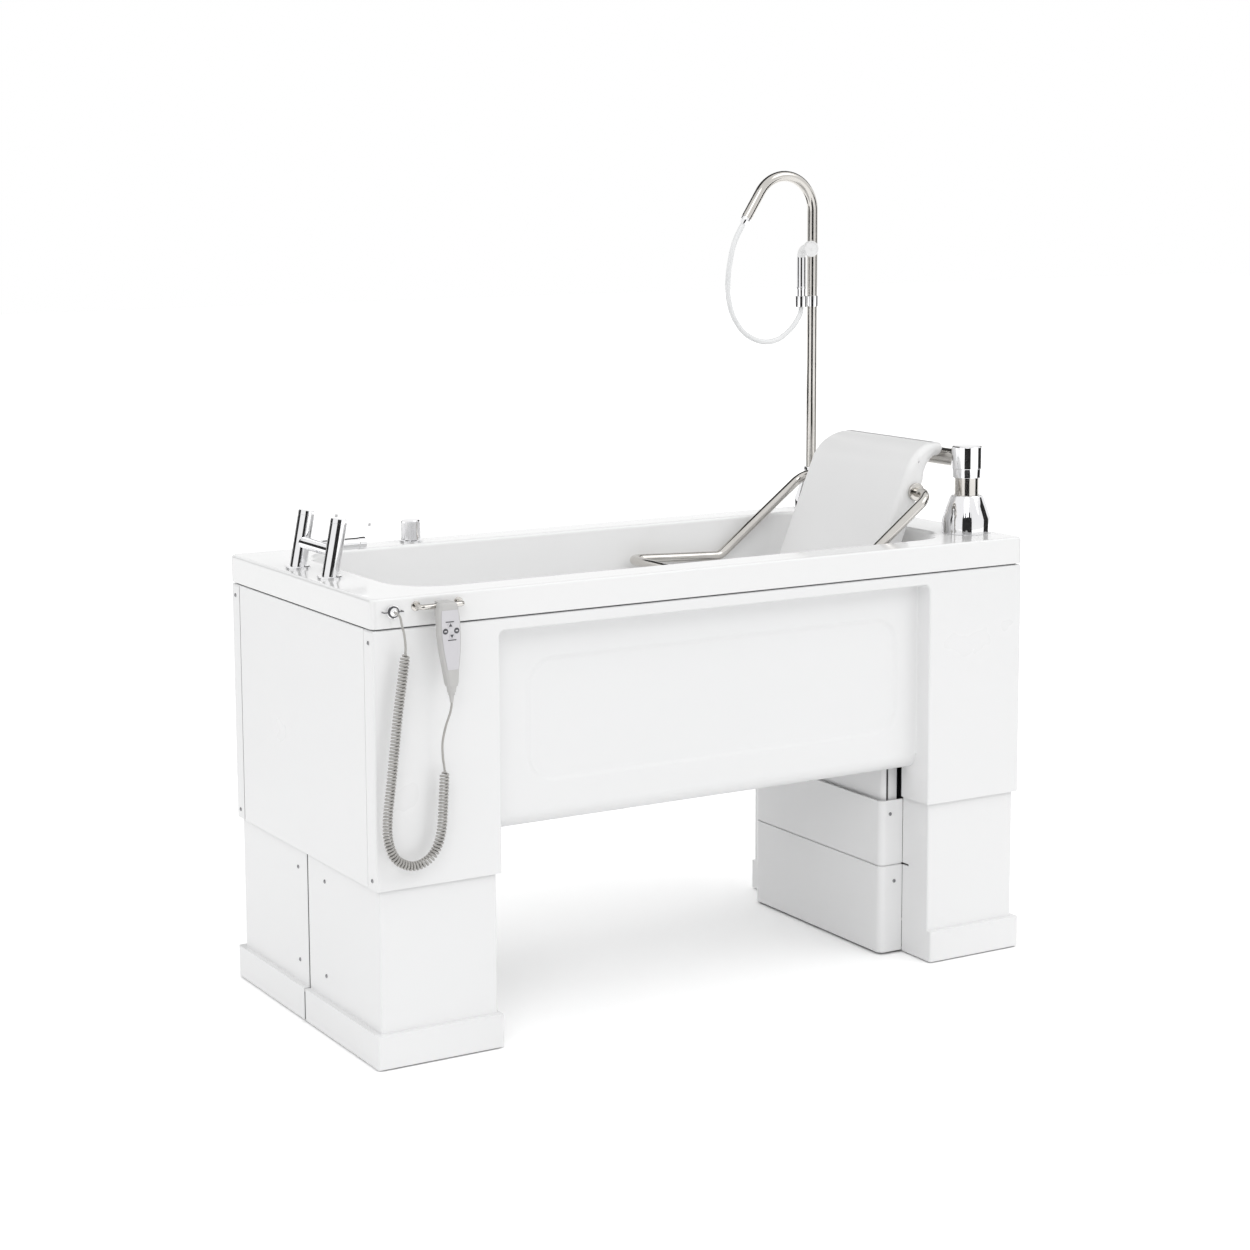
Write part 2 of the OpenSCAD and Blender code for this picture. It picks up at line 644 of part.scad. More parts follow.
// rounded field between y0 and y1, grown by out
module emboss(y0, y1, out) translate([0, y1, 0]) rotate([90, 0, 0]) linear_extrude(y1 - y0)
    slab2(tap_gap_x + emboss_tap - out, apron_foot + emboss_below - out,
        seat_gap_x - emboss_seat + out, apron_top - emboss_above + out, emboss_radius + out);
module near_moulding() color("white") side_moulding();
module far_moulding() color("whitesmoke") mirror([0, 1, 0]) side_moulding();

// plate between the flanges of the two side mouldings
module end_plate(x0, x1) box([x0, -face_y + end_flange + 2, moulding_foot],
    [x1, face_y - end_flange - 2, panel_top]);
module tap_end_panel() color("gainsboro") end_plate(-face_x, -in_x);
module seat_end_panel() color("gainsboro") end_plate(in_x, face_x);

// panels that go down with the bath and close the pedestals from inside
slide_foot = 300;
hanger_z = step_high + lift_down + 8;
module tap_slide_panel() color("white")
    box([tap_low_x - cover_wall - 11, -well_y + 8, slide_foot],
        [tap_low_x - cover_wall - 6, well_y - 8, tub_under]);
module seat_slide_panel() color("white") {
    x0 = step_x + cover_wall * 2 + 3;
    y0 = step_y - cover_wall * 2 - 3;
    difference() {
        translate([0, 0, slide_foot]) linear_extrude(flange_top - slide_foot) difference() {
            slab2(x0, -y0, seat_low_x + 60, y0, 12);
            slab2(x0 + cover_wall, -y0 + cover_wall, seat_low_x + 61, y0 - cover_wall, 7);
            translate([seat_gap_x, -half_w]) square([100, bath_width]);
        }
        for (y = [-y0 - 1, y0 - cover_wall - 1])        // dark slot beside the corner
            box([x0 + 14, y, step_high - 40], [x0 + 20, y + cover_wall + 2, flange_top - 30]);
    }
    // hangers to the back of the aprons, above the step box at the lowest position
    both_sides() {
        box([seat_gap_x - 12, y0 - cover_wall, flange_top - 4], [seat_gap_x, y0, hanger_z + 30]);
        box([seat_gap_x - 12, y0 - cover_wall, hanger_z],
            [seat_gap_x, apron_y - cover_wall, hanger_z + 30]);
    }
}
module panel_screws() color("silver") {
    for (z = [moulding_foot + 22, panel_top - 28]) {
        screw([-face_x, -face_y + end_flange / 2, z], true);
        screw([-face_x, face_y - end_flange / 2, z], true);
        mirror([1, 0, 0]) {
            screw([-face_x, -face_y + end_flange / 2, z], true);
            screw([-face_x, face_y - end_flange / 2, z], true);
        }
    }
}

// ---- bath: chassis -----------------------------------------------------------
beam_z = panel_top - 40;
col_in = column_size / 2 - column_wall - column_slip;
module chassis() color("slategray") {
    both_sides() difference() {
        box([-in_x + 8, rail_y, panel_top], [in_x - 8, rail_y + rail_w, deck_under]);
        box([-in_x, rail_y + 3, panel_top + 3], [in_x, rail_y + rail_w - 3, deck_under - 3]);
    }
    for (x = [-in_x, tap_col_x + col_in - 20, seat_col_x - 71, in_x - 20])
        box([x, -rail_y - rail_w / 2 + 1, beam_z], [x + 20, rail_y + rail_w / 2 - 1, panel_top]);
    for (x = [tap_col_x, seat_col_x]) difference() {
        box([x - col_in, -col_in, slide_foot + 20], [x + col_in, col_in, panel_top]);
        box([x - col_in + 5, -col_in + 5, slide_foot + 19],
            [x + col_in - 5, col_in - 5, panel_top - 10]);
    }
    box([-in_x, -60, panel_top - 8], [tap_col_x + col_in, 60, panel_top]);
    box([seat_col_x - 71, -60, panel_top - 8], [in_x, 60, panel_top]);
    difference() {
        box([seat_col_x - 71, col_y - 60, panel_top - 8], [in_x, col_y + 60, panel_top]);
        translate([col_x, col_y, panel_top - 9])
            cylinder(d = lift_tube_d + 12 + 2 * run_gap, h = 10);
    }
}

// ---- bath: mixer, waste --------------------------------------------------------
module at_pillar(s) translate([tap_x, tap_y + s * tap_spacing / 2, rim_height])
    rotate([0, pillar_lean, 0]) children();
spout_z = 60;                        // bridge and spout above the deck
module mixer_body() color("silver") {
    for (s = [-1, 1]) {
        difference() {
            at_pillar(s) translate([0, 0, -12]) cylinder(d = pillar_d, h = pillar_height);
            translate([tap_x - 60, tap_y + s * tap_spacing / 2 - 60, rim_height - 40])
                cube([120, 120, 44]);
        }
        translate([tap_x, tap_y + s * tap_spacing / 2, rim_height]) {
            cylinder(d = pillar_d + 20, h = 4);
            translate([0, 0, 4]) cylinder(d1 = pillar_d + 20, d2 = pillar_d + 15, h = 1.5);
            translate([0, 0, -60]) cylinder(d = 26, h = 62);
            translate([0, 0, -tub_wall - 12]) cylinder(d = 40, h = 12, $fn = 6);
        }
    }
    bridge = [tap_x + spout_z * tan(pillar_lean), tap_y, rim_height + spout_z];
    rod(bridge - [0, tap_spacing / 2, 0], bridge + [0, tap_spacing / 2, 0], spout_d / 2 + 1);
    rod(bridge, bridge + [spout_reach - 6, 0, 0], spout_d / 2);
    difference() {
        rod(bridge + [spout_reach - 16, 0, 0], bridge + [spout_reach, 0, 0], spout_d / 2 + 1);
        rod(bridge + [spout_reach - 5, 0, 0], bridge + [spout_reach + 1, 0, 0], spout_d / 2 - 3);
    }
}
// lever with its cap, drawn upright at the pillar's top
module lever() {
    cylinder(d = pillar_d, h = 10);
    translate([0, 0, 10]) cylinder(d1 = pillar_d, d2 = pillar_d - 3, h = 1.5);
    difference() {
        translate([0, 0, 4]) linear_extrude(7) {
            translate([0, -pillar_d / 2 + 1]) square([lever_length - 15, pillar_d - 2]);
            translate([lever_length - 15, 0]) intersection() {
                circle(pillar_d / 2 - 1);
                translate([0, -30]) square(60);
            }
        }
        translate([pillar_d / 2 + 24, -40, -22]) rotate([0, 6, 0]) cube([100, 80, 25]);
    }
}
lever_z = pillar_height - 12 + run_gap;
module hot_lever() color("silver") at_pillar(-1) translate([0, 0, lever_z]) lever();
module cold_lever() color("silver") at_pillar(1) translate([0, 0, lever_z]) lever();
module supply_hoses() color("gray")
    for (s = [-1, 1]) {
        y = tap_y + s * tap_spacing / 2;
        bent([[tap_x, y, rim_height - 60], [tap_x, y, rim_height - 150],
            [tap_x, y + s * 60, rim_height - 190], [tap_x, y + s * 60, rim_height - 380]], 30, 8);
        translate([tap_x, y + s * 60, rim_height - 400]) cylinder(d = 24, h = 20, $fn = 6);
    }
module overflow_cover() color("silver") overflow_at() {
    difference() {
        union() {
            translate([0, 0, 0.5]) cylinder(d = 66, h = 6);
            translate([0, 0, 6.5]) cylinder(d1 = 66, d2 = 58, h = 3);
            translate([0, 0, -24]) cylinder(d = 40, h = 26);
        }
        for (a = [-30, 0, 30]) rotate([0, 0, a]) translate([22, 0, 3]) cylinder(d = 8, h = 8);
    }
}
module waste_fitting() color("silver") translate([waste_x, 0, floor_z]) difference() {
    union() {
        cylinder(d = waste_bore + 22, h = 2.5);
        translate([0, 0, -tub_wall - 46]) cylinder(d = waste_bore, h = tub_wall + 47);
        translate([0, 0, -tub_wall - 14]) cylinder(d = waste_bore + 22, h = 14);
    }
    translate([0, 0, -tub_wall - 47]) cylinder(d = waste_bore - 6, h = 60);
}
// tee under the waste, with the side arm that takes the overflow
module waste_pipe() color("gray") translate([waste_x, 0, tub_under]) difference() {
    union() {
        translate([0, 0, -96]) cylinder(d = 40, h = 50);
        translate([0, 0, -60]) cylinder(d = 52, h = 14);
    }
    translate([0, 0, -97]) cylinder(d = 34, h = 60);
}
plug_d = waste_bore - 7;
module waste_plug() color("silver") translate([waste_x, 0, floor_z]) {
    translate([0, 0, 2.5 + run_gap]) cylinder(d = plug_d + 12, h = 3);
    translate([0, 0, -30]) cylinder(d = 8, h = 33);
    translate([0, 0, -6]) cylinder(d = plug_d, h = 4);
}
module knob_flange() color("silver") translate([knob_x, knob_y, rim_height]) {
    cylinder(d = knob_d + 10, h = 4);
    translate([0, 0, 4]) cylinder(d = 30, h = 1.5);
    translate([0, 0, -34]) cylinder(d = 18, h = 36);
    translate([0, 0, -tub_wall - 10]) cylinder(d = 23, h = 10, $fn = 6);
}
module waste_knob() color("silver") translate([knob_x, knob_y, rim_height + 5.5 + run_gap]) {
    difference() {
        cylinder(d = knob_d, h = knob_height - 3);
        for (i = [0:knob_flutes - 1]) if (i < knob_flutes - 4)
            rotate([0, 0, -60 + (i + 0.5) * 360 / knob_flutes]) translate([knob_d / 2 + 0.6, 0, 4])
                cylinder(d = 3.2, h = knob_height - 10, $fn = 16);
    }
    translate([0, 0, knob_height - 3]) cylinder(d1 = knob_d, d2 = knob_d - 5, h = 3);
}

// ---- bath: shower --------------------------------------------------------------
// frame at the end of the gooseneck, Z along the tube
module at_neck_end() translate(neck_mid) rotate([90, 0, 0]) rotate([0, 0, neck_turn])
    translate([neck_radius, 0, 0]) rotate([-90, 0, 0]) children();
module shower_pole() color("silver") {
    translate([pole_x, pole_y, deck_under - 60])
        cylinder(d = pole_d, h = neck_mid[2] - deck_under + 60);
    translate(neck_mid) rotate([90, 0, 0]) rotate_extrude(angle = neck_turn)
        translate([neck_radius, 0]) circle(pole_d / 2);
    at_neck_end() translate([0, 0, -2]) cylinder(d = pole_d - 0.2, h = 82);
    translate([pole_x, pole_y, deck_under - 14]) cylinder(d = pole_d + 10, h = 14);
}
module pole_base() color("silver") translate([pole_x, pole_y, rim_height]) difference() {
    union() {
        cylinder(d = 92, h = 24);
        translate([0, 0, 24]) cylinder(d1 = 92, d2 = pole_d + 12, h = 76);
        translate([0, 0, 100]) cylinder(d = pole_d + 12, h = 14);
    }
    translate([0, 0, -1]) cylinder(d = pole_d + run_gap, h = 120);
}
module shower_outlet() color("silver") at_neck_end() translate([0, 0, 80]) {
    cylinder(d = hose_d + 12, h = 8);
    translate([0, 0, 8]) cylinder(d1 = hose_d + 10, d2 = hose_d + 4, h = 12);
}
holder_z = rim_height + 548;
module handset_holder() color("silver") difference() {
    union() {
        for (x = [pole_x, grip_x]) translate([x, pole_y, holder_z]) cylinder(d = 35, h = 29);
        box([grip_x, pole_y - 9, holder_z + 2], [pole_x, pole_y + 9, holder_z + 27]);
    }
    translate([pole_x, pole_y, holder_z - 1]) cylinder(d = pole_d, h = 31);
    translate([grip_x, pole_y, holder_z - 1]) cylinder(d = handle_d + 2 * run_gap, h = 31);
}
module shower_hose() color("white") {
    g = gauge(hose_route);
    stops = concat([0], [for (i = [0:28]) lerp(hose_d, total(g) - hose_d, i / 28)], [total(g)]);
    last = len(hose_route) - 1;
    path = concat([hose_route[0], hose_route[1]],
        [for (i = [2:len(stops) - 3]) point_at(hose_route, g, stops[i])],
        [hose_route[last - 1], hose_route[last]]);
    sweep(path, [for (s = path) [0, 1, 0]], hose_d / 2, 8);
}
// hand shower: the handle stands in the holder, the head looks at the bather
module handset_handle() color("silver") {
    translate([grip_x, pole_y, grip_foot]) {
        cylinder(d = handle_d, h = handle_length);
        translate([0, 0, 44]) cylinder(d = handle_d + 2.4, h = 5);
    }
}
head_mid = [grip_x, pole_y - 50, grip_foot + handle_length + 23];
module handset_head() color("white") {
    base = [grip_x, pole_y, grip_foot + handle_length];
    bent([base, [grip_x, pole_y, head_mid[2]], head_mid + [0, 8, 0]], 20, 11);
    translate(head_mid) rotate([90, 0, 0]) {
        translate([0, 0, -22]) cylinder(r1 = 12, r2 = 20, h = 12);
        difference() {
            translate([0, 0, -12]) cylinder(r = 21, h = 12);
            translate([0, 0, -1.5]) cylinder(r = 18, h = 3);
        }
        translate([0, 0, -5]) cylinder(r = 3, h = 6);
    }
}

// ---- bath: hook bar and cord outlet ---------------------------------------------
module hook_rail() color("silver") {
    y = -half_w;
    xs = [hand_x - hook_bar / 2 - 6, hand_x + hook_bar / 2 - 6];
    bent([[xs[0], y, hook_z], [xs[0], y - standoff, hook_z], [xs[1], y - standoff, hook_z],
        [xs[1], y, hook_z]], hook_bar_d * 0.75, hook_bar_d / 2);
    for (x = xs) rod([x, y, hook_z], [x, y - 2.5, hook_z], hook_bar_d / 2 + 5);
}
module cord_outlet() color("silver") {
    p = [gland_x, -half_w, gland_z];
    difference() {
        rod(p, p - [0, 10, 0], 15);
        rod(p - [0, 7, 0], p - [0, 11, 0], 11.5);
    }
    rod(p - [0, 6, 0], p - [0, 14, 0], 10);
    translate(p - [0, 14, 0]) rotate([90, 0, 0]) cylinder(r1 = 10, r2 = 4.5, h = 6);
}
module outlet_clip() color("black") translate([gland_x, -half_w, gland_z]) difference() {
    union() {
        rotate([90, 0, 0]) translate([0, 0, 10 + run_gap]) cylinder(r = 13, h = 2);
        box([-24, -12 - run_gap, -1], [24, -10 - run_gap, 1]);
        for (x = [-24, 22]) box([x, -12 - run_gap, -1], [x + 2, 0, 1]);
    }
    rotate([90, 0, 0]) cylinder(r = 10.5, h = 20);
}
module curly_cord() color("gray")
    sweep(cord_path, [for (s = cord_stops) cord_side(s)], wire_d / 2, 6);

// ---- bath and seat: column ----------------------------------------------------
tube_len = seat_travel + 280;
module column_base() color("silver") translate([col_x, col_y, rim_height]) difference() {
    union() {
        cylinder(d = 2 * lift_tube_d, h = 38);
        translate([0, 0, 38]) cylinder(r1 = lift_tube_d, r2 = lift_tube_d / 2 + 11,
            h = base_height - 42);
        translate([0, 0, base_height - 4])
            cylinder(r1 = lift_tube_d / 2 + 11, r2 = lift_tube_d / 2 + 8, h = 4);
        translate([0, 0, 200 - tube_len]) cylinder(d = lift_tube_d + 12, h = tube_len - 199);
    }
    translate([0, 0, 220 - tube_len])
        cylinder(d = lift_tube_d + 2 * run_gap, h = tube_len + 400);
}
module lift_tube() color("silver") translate([col_x, col_y, head_z - tube_len + 90])
    cylinder(d = lift_tube_d, h = tube_len - 90);
module column_head() color("silver") {
    translate([col_x, col_y, head_z]) {
        cylinder(d = head_d - 5, h = 5);
        translate([0, 0, 5]) cylinder(d1 = head_d - 5, d2 = head_d - 3, h = 18);
        translate([0, 0, 23]) cylinder(d = head_d, h = head_height - 26);
        translate([0, 0, head_height - 3]) cylinder(d1 = head_d, d2 = head_d - 6, h = 3);
    }
}
// backrest: drawn along its front face, straight and then rolled over at the top.
// k < 0 is a distance below the roll, k > 0 an angle round it
rec = back_recline;
up = [sin(rec), cos(rec)];           // up along the straight part (x, z)
roll_mid = [well_x1 + 19, rim_height + back_crest - back_roll];   // centre of the roll
roll_turn = 90 - rec;
flat_len = 432;
function face_out(k) = k <= 0 ? [cos(rec), -sin(rec)] : [cos(rec + k), -sin(rec + k)];
function face_line(k) = roll_mid - back_roll * face_out(k) + min(k, 0) * up;
function back_t(k) = back_thick * (1 - 0.42 * max(k, 0) / roll_turn);
function back_at(k, t) = face_line(k) + t * face_out(k);
back_rows = concat([for (q = [1, 0.66, 0.33, 0]) -flat_len * q], [for (i = [1:7]) roll_turn * i / 7]);
// half circle that closes the outline at row k, heading away along dir
function round_end(k, inset, dir) =
    let (h = back_t(k) / 2 - inset, m = back_at(k, back_t(k) / 2), o = face_out(k))
    [for (a = [30:30:150]) m + h * (sin(a) * dir - (dir[1] > -0.5 ? 1 : -1) * cos(a) * o)];
// side outline of the backrest, drawn in by inset all round
function drawn(k, inset) = inset * back_t(k) / back_thick;
function back_outline(inset, y) = [for (p = concat(
    [for (k = back_rows) back_at(k, drawn(k, inset))],
    round_end(roll_turn, drawn(roll_turn, inset), [1, 0]),
    [for (i = [len(back_rows) - 1:-1:0]) let (k = back_rows[i])
        back_at(k, back_t(k) - drawn(k, inset))],
    round_end(-flat_len, inset, -up))) [p[0], y, p[1]]];
// the outline's inside as faces between its front and back, and its two round ends
back_n = len(back_rows);
back_face = concat([for (i = [0:back_n - 2]) [i, i + 1, 2 * back_n + 3 - i, 2 * back_n + 4 - i]],
    [[for (i = [-1:5]) back_n + i], [for (i = [4:10]) (2 * back_n + i) % (2 * back_n + 10)]]);
edge = 20;                           // rounding of the backrest's two side edges
side_round = 0.85;                   // how far it draws the edges in, as a share of edge
bar_pin = [pivot[0], 0, pivot[1]];
module backrest() color("white") difference() {
    loft([
        for (a = [0:22.5:90]) back_outline(edge * (1 - sin(a)) * side_round,
            -back_width / 2 + edge * (1 - cos(a))),
        for (a = [90:-22.5:0]) back_outline(edge * (1 - sin(a)) * side_round,
            back_width / 2 - edge * (1 - cos(a)))], back_face);
    // grooves for the frame's tubes and rungs, which lie half in the board's back
    translate([roll_mid[0], 0, roll_mid[1]]) rotate([0, rec, 0]) {
        for (y = [-110, 110]) translate([frame_t - back_roll - frame_r - run_gap, y - frame_r - run_gap,
            -flat_len - back_thick]) cube([back_thick, 2 * (frame_r + run_gap),
            flat_len + back_thick - spine_end + run_gap]);
        for (k = rungs) translate([frame_t - back_roll - rung_r - run_gap, -110, -k - rung_r - run_gap])
            cube([back_thick, 220, 2 * (rung_r + run_gap)]);
    }
    // groove for the cross tube and socket for the arm, both with flat sides
    slot = cross_r + run_gap;
    translate([pivot[0], 0, pivot[1]]) rotate([0, rec, 0])
        translate([-slot, -back_width, -slot]) cube([200, 2 * back_width, 2 * slot]);
    translate([arm_x, arm_y, arm_z]) rotate([0, 90, 0])
        cylinder(d = (arm_d + 2 * run_gap) / cos(15), h = 200, $fn = 12);
}

pan_top = floor_z + 150;
pan_x1 = back_at(-flat_len, 0)[0] - 6;
module seat_pan() color("white") translate([pan_x1 - pan_length, -pan_width / 2, pan_top - pan_thick])
    linear_extrude(pan_thick) slab2(0, 0, pan_length, pan_width, pan_round);
// stainless frame: two tubes down behind the backrest and forward under the
// pan, and the cross tube with the sockets of the safety bar
cross_r = 13;
frame_r = 14;
frame_t = back_thick + run_gap;      // depth of the frame's middle behind the front face
spine_end = 20;                      // distances down from the roll: ends of the two tubes
rungs = [110, 300];                  // and the two rungs
rung_r = 9;
function spine(k) = back_at(-k, frame_t);
module seat_frame() color("silver") {
    a = spine(spine_end);
    z = pan_top - pan_thick - frame_r;
    b = a - up * (a[1] - z) / cos(rec);
    for (y = [-110, 110])
        bent([[a[0], y, a[1]], [b[0], y, z], [pan_x1 - pan_length + 50, y, z]], 30, frame_r, 16);
    for (k = rungs)
        rod([spine(k)[0], -110, spine(k)[1]], [spine(k)[0], 110, spine(k)[1]], rung_r);
    rod([pivot[0], -back_width / 2, pivot[1]], [pivot[0], back_width / 2, pivot[1]], cross_r);
    for (s = [-1, 1]) translate([pivot[0], s * back_width / 2, pivot[1]])
        rotate([-90 * s, 0, 0]) difference() {
            cylinder(r = 22.5, h = 9);
            translate([0, 0, 2]) cylinder(r = 10 + run_gap, h = 8);
        }
}
arm_d = 45;
arm_x = roll_mid[0] - 44;            // where the arm ends in the backrest
arm_y = -60;
module seat_arm() color("silver") difference() {
    bent([[col_x, col_y + head_d / 4, arm_z], [col_x, arm_y, arm_z],
        [arm_x + run_gap, arm_y, arm_z]], 34, arm_d / 2, 32);
    translate([col_x, col_y, head_z - 10]) cylinder(d = head_d + 0.1, h = head_height + 40);
}
// U-shaped bar; pins on its two ends turn in the sockets on the frame
module safety_bar() color("silver") {
    knee = [-knee_reach, -knee_drop];
    tip = [-bar_reach, -bar_drop];
    y = well_y - bar_gap;
    root = back_width / 2 + 9 + run_gap;
    bent([for (p = [[0, -root, 0], [0, -y, 0],
        [knee[0], -y, knee[1]], [tip[0], -y, tip[1]], [tip[0], y, tip[1]],
        [knee[0], y, knee[1]], [0, y, 0], [0, root, 0]])
        [pivot[0] + p[0], p[1], pivot[1] + p[2]]], 40, bar_d / 2);
    for (s = [-1, 1]) translate([pivot[0], s * (root - 6), pivot[1]]) rotate([-90 * s, 0, 0])
        cylinder(r = 10, h = 20);
}

// ---- hand control ----------------------------------------------------------------
// outline of the housing: [height above its foot, half width]
hand_rows = [[0, 13], [8, 14.5], [35, 17.5], [75, 23.5], [115, 27], [150, 26.5],
    [172, 24], [182, 22], [186, 19]];
hand_foot = hand_top - hand_length;
function hand_w(h) = lookup(h, [for (r = hand_rows) [r[0], r[1] * hand_width / 54]]);
function hand_cx(h) = hand_x + 4 - 9 * h / 186;
module hand_housing() color("darkgray") difference() {
    union() {
        loft([for (r = hand_rows) let (e = r[0] == 0 || r[0] == 186 ? 2 : 0)
            ring(hand_cx(r[0]), -hand_back - hand_thick / 2, r[1] * hand_width / 54,
                hand_thick / 2 - e, 8, hand_foot + r[0] * hand_length / 186, 4)]);
        // hook over the bar
        box([hand_x - 19, -half_w - standoff + hook_bar_d / 2 + run_gap, hook_z - 24],
            [hand_x + 12, -half_w - standoff + hook_bar_d / 2 + 5, hook_z + 8]);
        box([hand_x - 19, -hand_back - 6, hook_z + hook_bar_d / 2 + run_gap],
            [hand_x + 12, -half_w - standoff + hook_bar_d / 2 + 5, hook_z + 10]);
    }
    for (b = keys) translate([b[0], -hand_front - 1, b[1]]) rotate([-90, 0, 0])
        cylinder(d = key_d + 2 * run_gap, h = 5);
}
key_d = 12.5;
key_mid = [hand_x - 2, hand_foot + 124];
keys = [for (p = [[-1.6, 12.5], [1.6, -10.5], [-13.7, 0], [13.6, 0]]) key_mid + p];
module hand_keypad() color("lavender") {
    difference() {
        translate([0, -hand_front, 0]) rotate([90, 0, 0]) linear_extrude(0.8)
            polygon(concat([for (h = [38:12:170]) [hand_cx(h) + hand_w(h) - 5, hand_foot + h]],
                [for (h = [170:-12:38]) [hand_cx(h) - hand_w(h) + 5, hand_foot + h]]));
        for (b = keys) translate([b[0], -hand_front - 2, b[1]]) rotate([-90, 0, 0])
            cylinder(d = key_d + 2 * run_gap, h = 4);
    }
}
module key(i) translate([keys[i][0], -hand_front + 2, keys[i][1]]) rotate([90, 0, 0]) {
    cylinder(d = key_d, h = 2 + key_proud - 0.4);
    translate([0, 0, 2 + key_proud - 0.4]) cylinder(d1 = key_d, d2 = key_d - 1.2, h = 0.4);
}
module key_up() color("dimgray") key(0);
module key_down() color("dimgray") key(1);
module key_left() color("dimgray") key(2);
module key_right() color("dimgray") key(3);
// collar and tapering strain relief under the housing
module hand_collar() color("gray") translate([relief_foot[0], relief_foot[1], 0]) {
    translate([0, 0, hand_foot - 14]) cylinder(d1 = 19, d2 = 23, h = 14);
    translate([0, 0, hand_foot - 20]) cylinder(d = 15, h = 6);
    translate([0, 0, hand_foot - 37]) cylinder(d1 = wire_d + 2, d2 = 12, h = 17);
}

place() {
    tap_base();
    seat_base();
    levelling_feet();
    tap_cover_near();
    tap_cover_far();
    seat_cover_near();
    seat_cover_far();
    tap_inner_wall();
    step_lower();
    step_upper();
    control_box();
    cover_screws();
    tub();
    near_moulding();
    far_moulding();
    tap_end_panel();
    seat_end_panel();
    tap_slide_panel();
    seat_slide_panel();
    panel_screws();
    chassis();
    mixer_body();
    hot_lever();
    cold_lever();
    supply_hoses();
    overflow_cover();
    waste_fitting();
    waste_pipe();
    waste_plug();
    knob_flange();
    waste_knob();
    shower_pole();
    pole_base();
    shower_outlet();
    handset_holder();
    shower_hose();
    handset_handle();
    handset_head();
    hook_rail();
    cord_outlet();
    outlet_clip();
    union() {
        echo(curly_cord_least_gap = cord_gap);
        curly_cord();
    }
    column_base();
    lift_tube();
    column_head();
    backrest();
    seat_pan();
    seat_frame();
    seat_arm();
    safety_bar();
    hand_housing();
    hand_keypad();
    key_up();
    key_down();
    key_left();
    key_right();
    hand_collar();
}
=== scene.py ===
# %% [markdown]
# # A height-adjustable assisted bath
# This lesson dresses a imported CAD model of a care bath. The model gives every
# size and every joint. Here each visible surface gets its final shape and finish:
# polished white mouldings, stainless tubes, chrome fittings and a grey hand control.

# %% Load the frame
import json
import math
import bpy
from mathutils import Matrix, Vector


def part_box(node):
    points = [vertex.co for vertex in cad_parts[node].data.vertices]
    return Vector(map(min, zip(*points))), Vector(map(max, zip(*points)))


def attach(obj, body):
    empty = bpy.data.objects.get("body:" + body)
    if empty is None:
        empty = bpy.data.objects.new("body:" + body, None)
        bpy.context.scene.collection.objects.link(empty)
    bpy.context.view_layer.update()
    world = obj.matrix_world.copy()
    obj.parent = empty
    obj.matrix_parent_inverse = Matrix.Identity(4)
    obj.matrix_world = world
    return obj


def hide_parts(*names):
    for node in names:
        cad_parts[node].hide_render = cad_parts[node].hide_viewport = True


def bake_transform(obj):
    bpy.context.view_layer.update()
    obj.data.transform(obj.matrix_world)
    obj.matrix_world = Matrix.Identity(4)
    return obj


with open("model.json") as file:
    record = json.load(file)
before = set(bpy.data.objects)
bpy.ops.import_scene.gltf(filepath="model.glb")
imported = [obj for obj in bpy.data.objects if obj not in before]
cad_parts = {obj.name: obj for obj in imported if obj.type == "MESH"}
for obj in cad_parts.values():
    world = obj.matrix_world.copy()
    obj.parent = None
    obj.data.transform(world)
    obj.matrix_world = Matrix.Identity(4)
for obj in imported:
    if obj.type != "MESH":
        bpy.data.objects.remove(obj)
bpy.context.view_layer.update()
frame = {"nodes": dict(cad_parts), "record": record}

# %% [markdown]
# Sizes below are read off in millimetres, with y = 0 on the bath's centre line.
# The model's own origin is the middle of its footprint, so one small function
# turns a measured point into metres in the shared frame.

# %% Places in millimetres
tub_low, tub_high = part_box("tub")
mid_y = (tub_low.y + tub_high.y) / 2


def at(x, y, z):
    """A point measured in millimetres from the bath's centre line, in metres."""
    return Vector((x / 1000, y / 1000 + mid_y, z / 1000))


print("centre line at y =", round(mid_y, 4))

# %% [markdown]
# The camera stands left of the near side, about two metres up. Its place and lens
# were solved from the corners of the rim and of the pedestals. The small shift
# stands for the way the picture was cropped.

# %% Camera
camera_data = bpy.data.cameras.new("camera")
camera = bpy.data.objects.new("camera", camera_data)
bpy.context.scene.collection.objects.link(camera)
camera.location = (-3.2340, -5.3455, 1.97935)
camera.rotation_euler = [math.radians(a) for a in (82.2271, 0.3803, -29.9027)]
camera_data.sensor_width = 36
camera_data.lens = 74.046
camera_data.shift_x = 0.036
camera_data.shift_y = -0.084
camera_data.clip_end = 100
bpy.context.scene.camera = camera

# %% [markdown]
# Two flexible pieces come next, because everything else has to leave them room:
# the hose of the hand shower and the curly cord of the hand control. Both follow
# a smooth curve through given points, the same points as in the CAD model.

# %% Smooth curves through points


def on_curve(points, t):
    """The point at parameter t of a smooth curve through points."""
    last = len(points) - 1
    i = min(int(t), last - 1)
    f = t - i
    a, b = points[max(i - 1, 0)], points[i]
    c, d = points[i + 1], points[min(i + 2, last)]
    return 0.5 * (2 * b + (c - a) * f + (2 * a - 5 * b + 4 * c - d) * f * f
                  + (3 * b - a - 3 * c + d) * f ** 3)


gauge_steps = 12


def gauge(points):
    """A table of distance and parameter along the curve, for each step of it."""
    rows = [(0.0, 0.0)]
    before = points[0]
    for k in range(1, (len(points) - 1) * gauge_steps + 1):
        here = on_curve(points, k / gauge_steps)
        rows.append((rows[-1][0] + (here - before).length, k / gauge_steps))
        before = here
    return rows


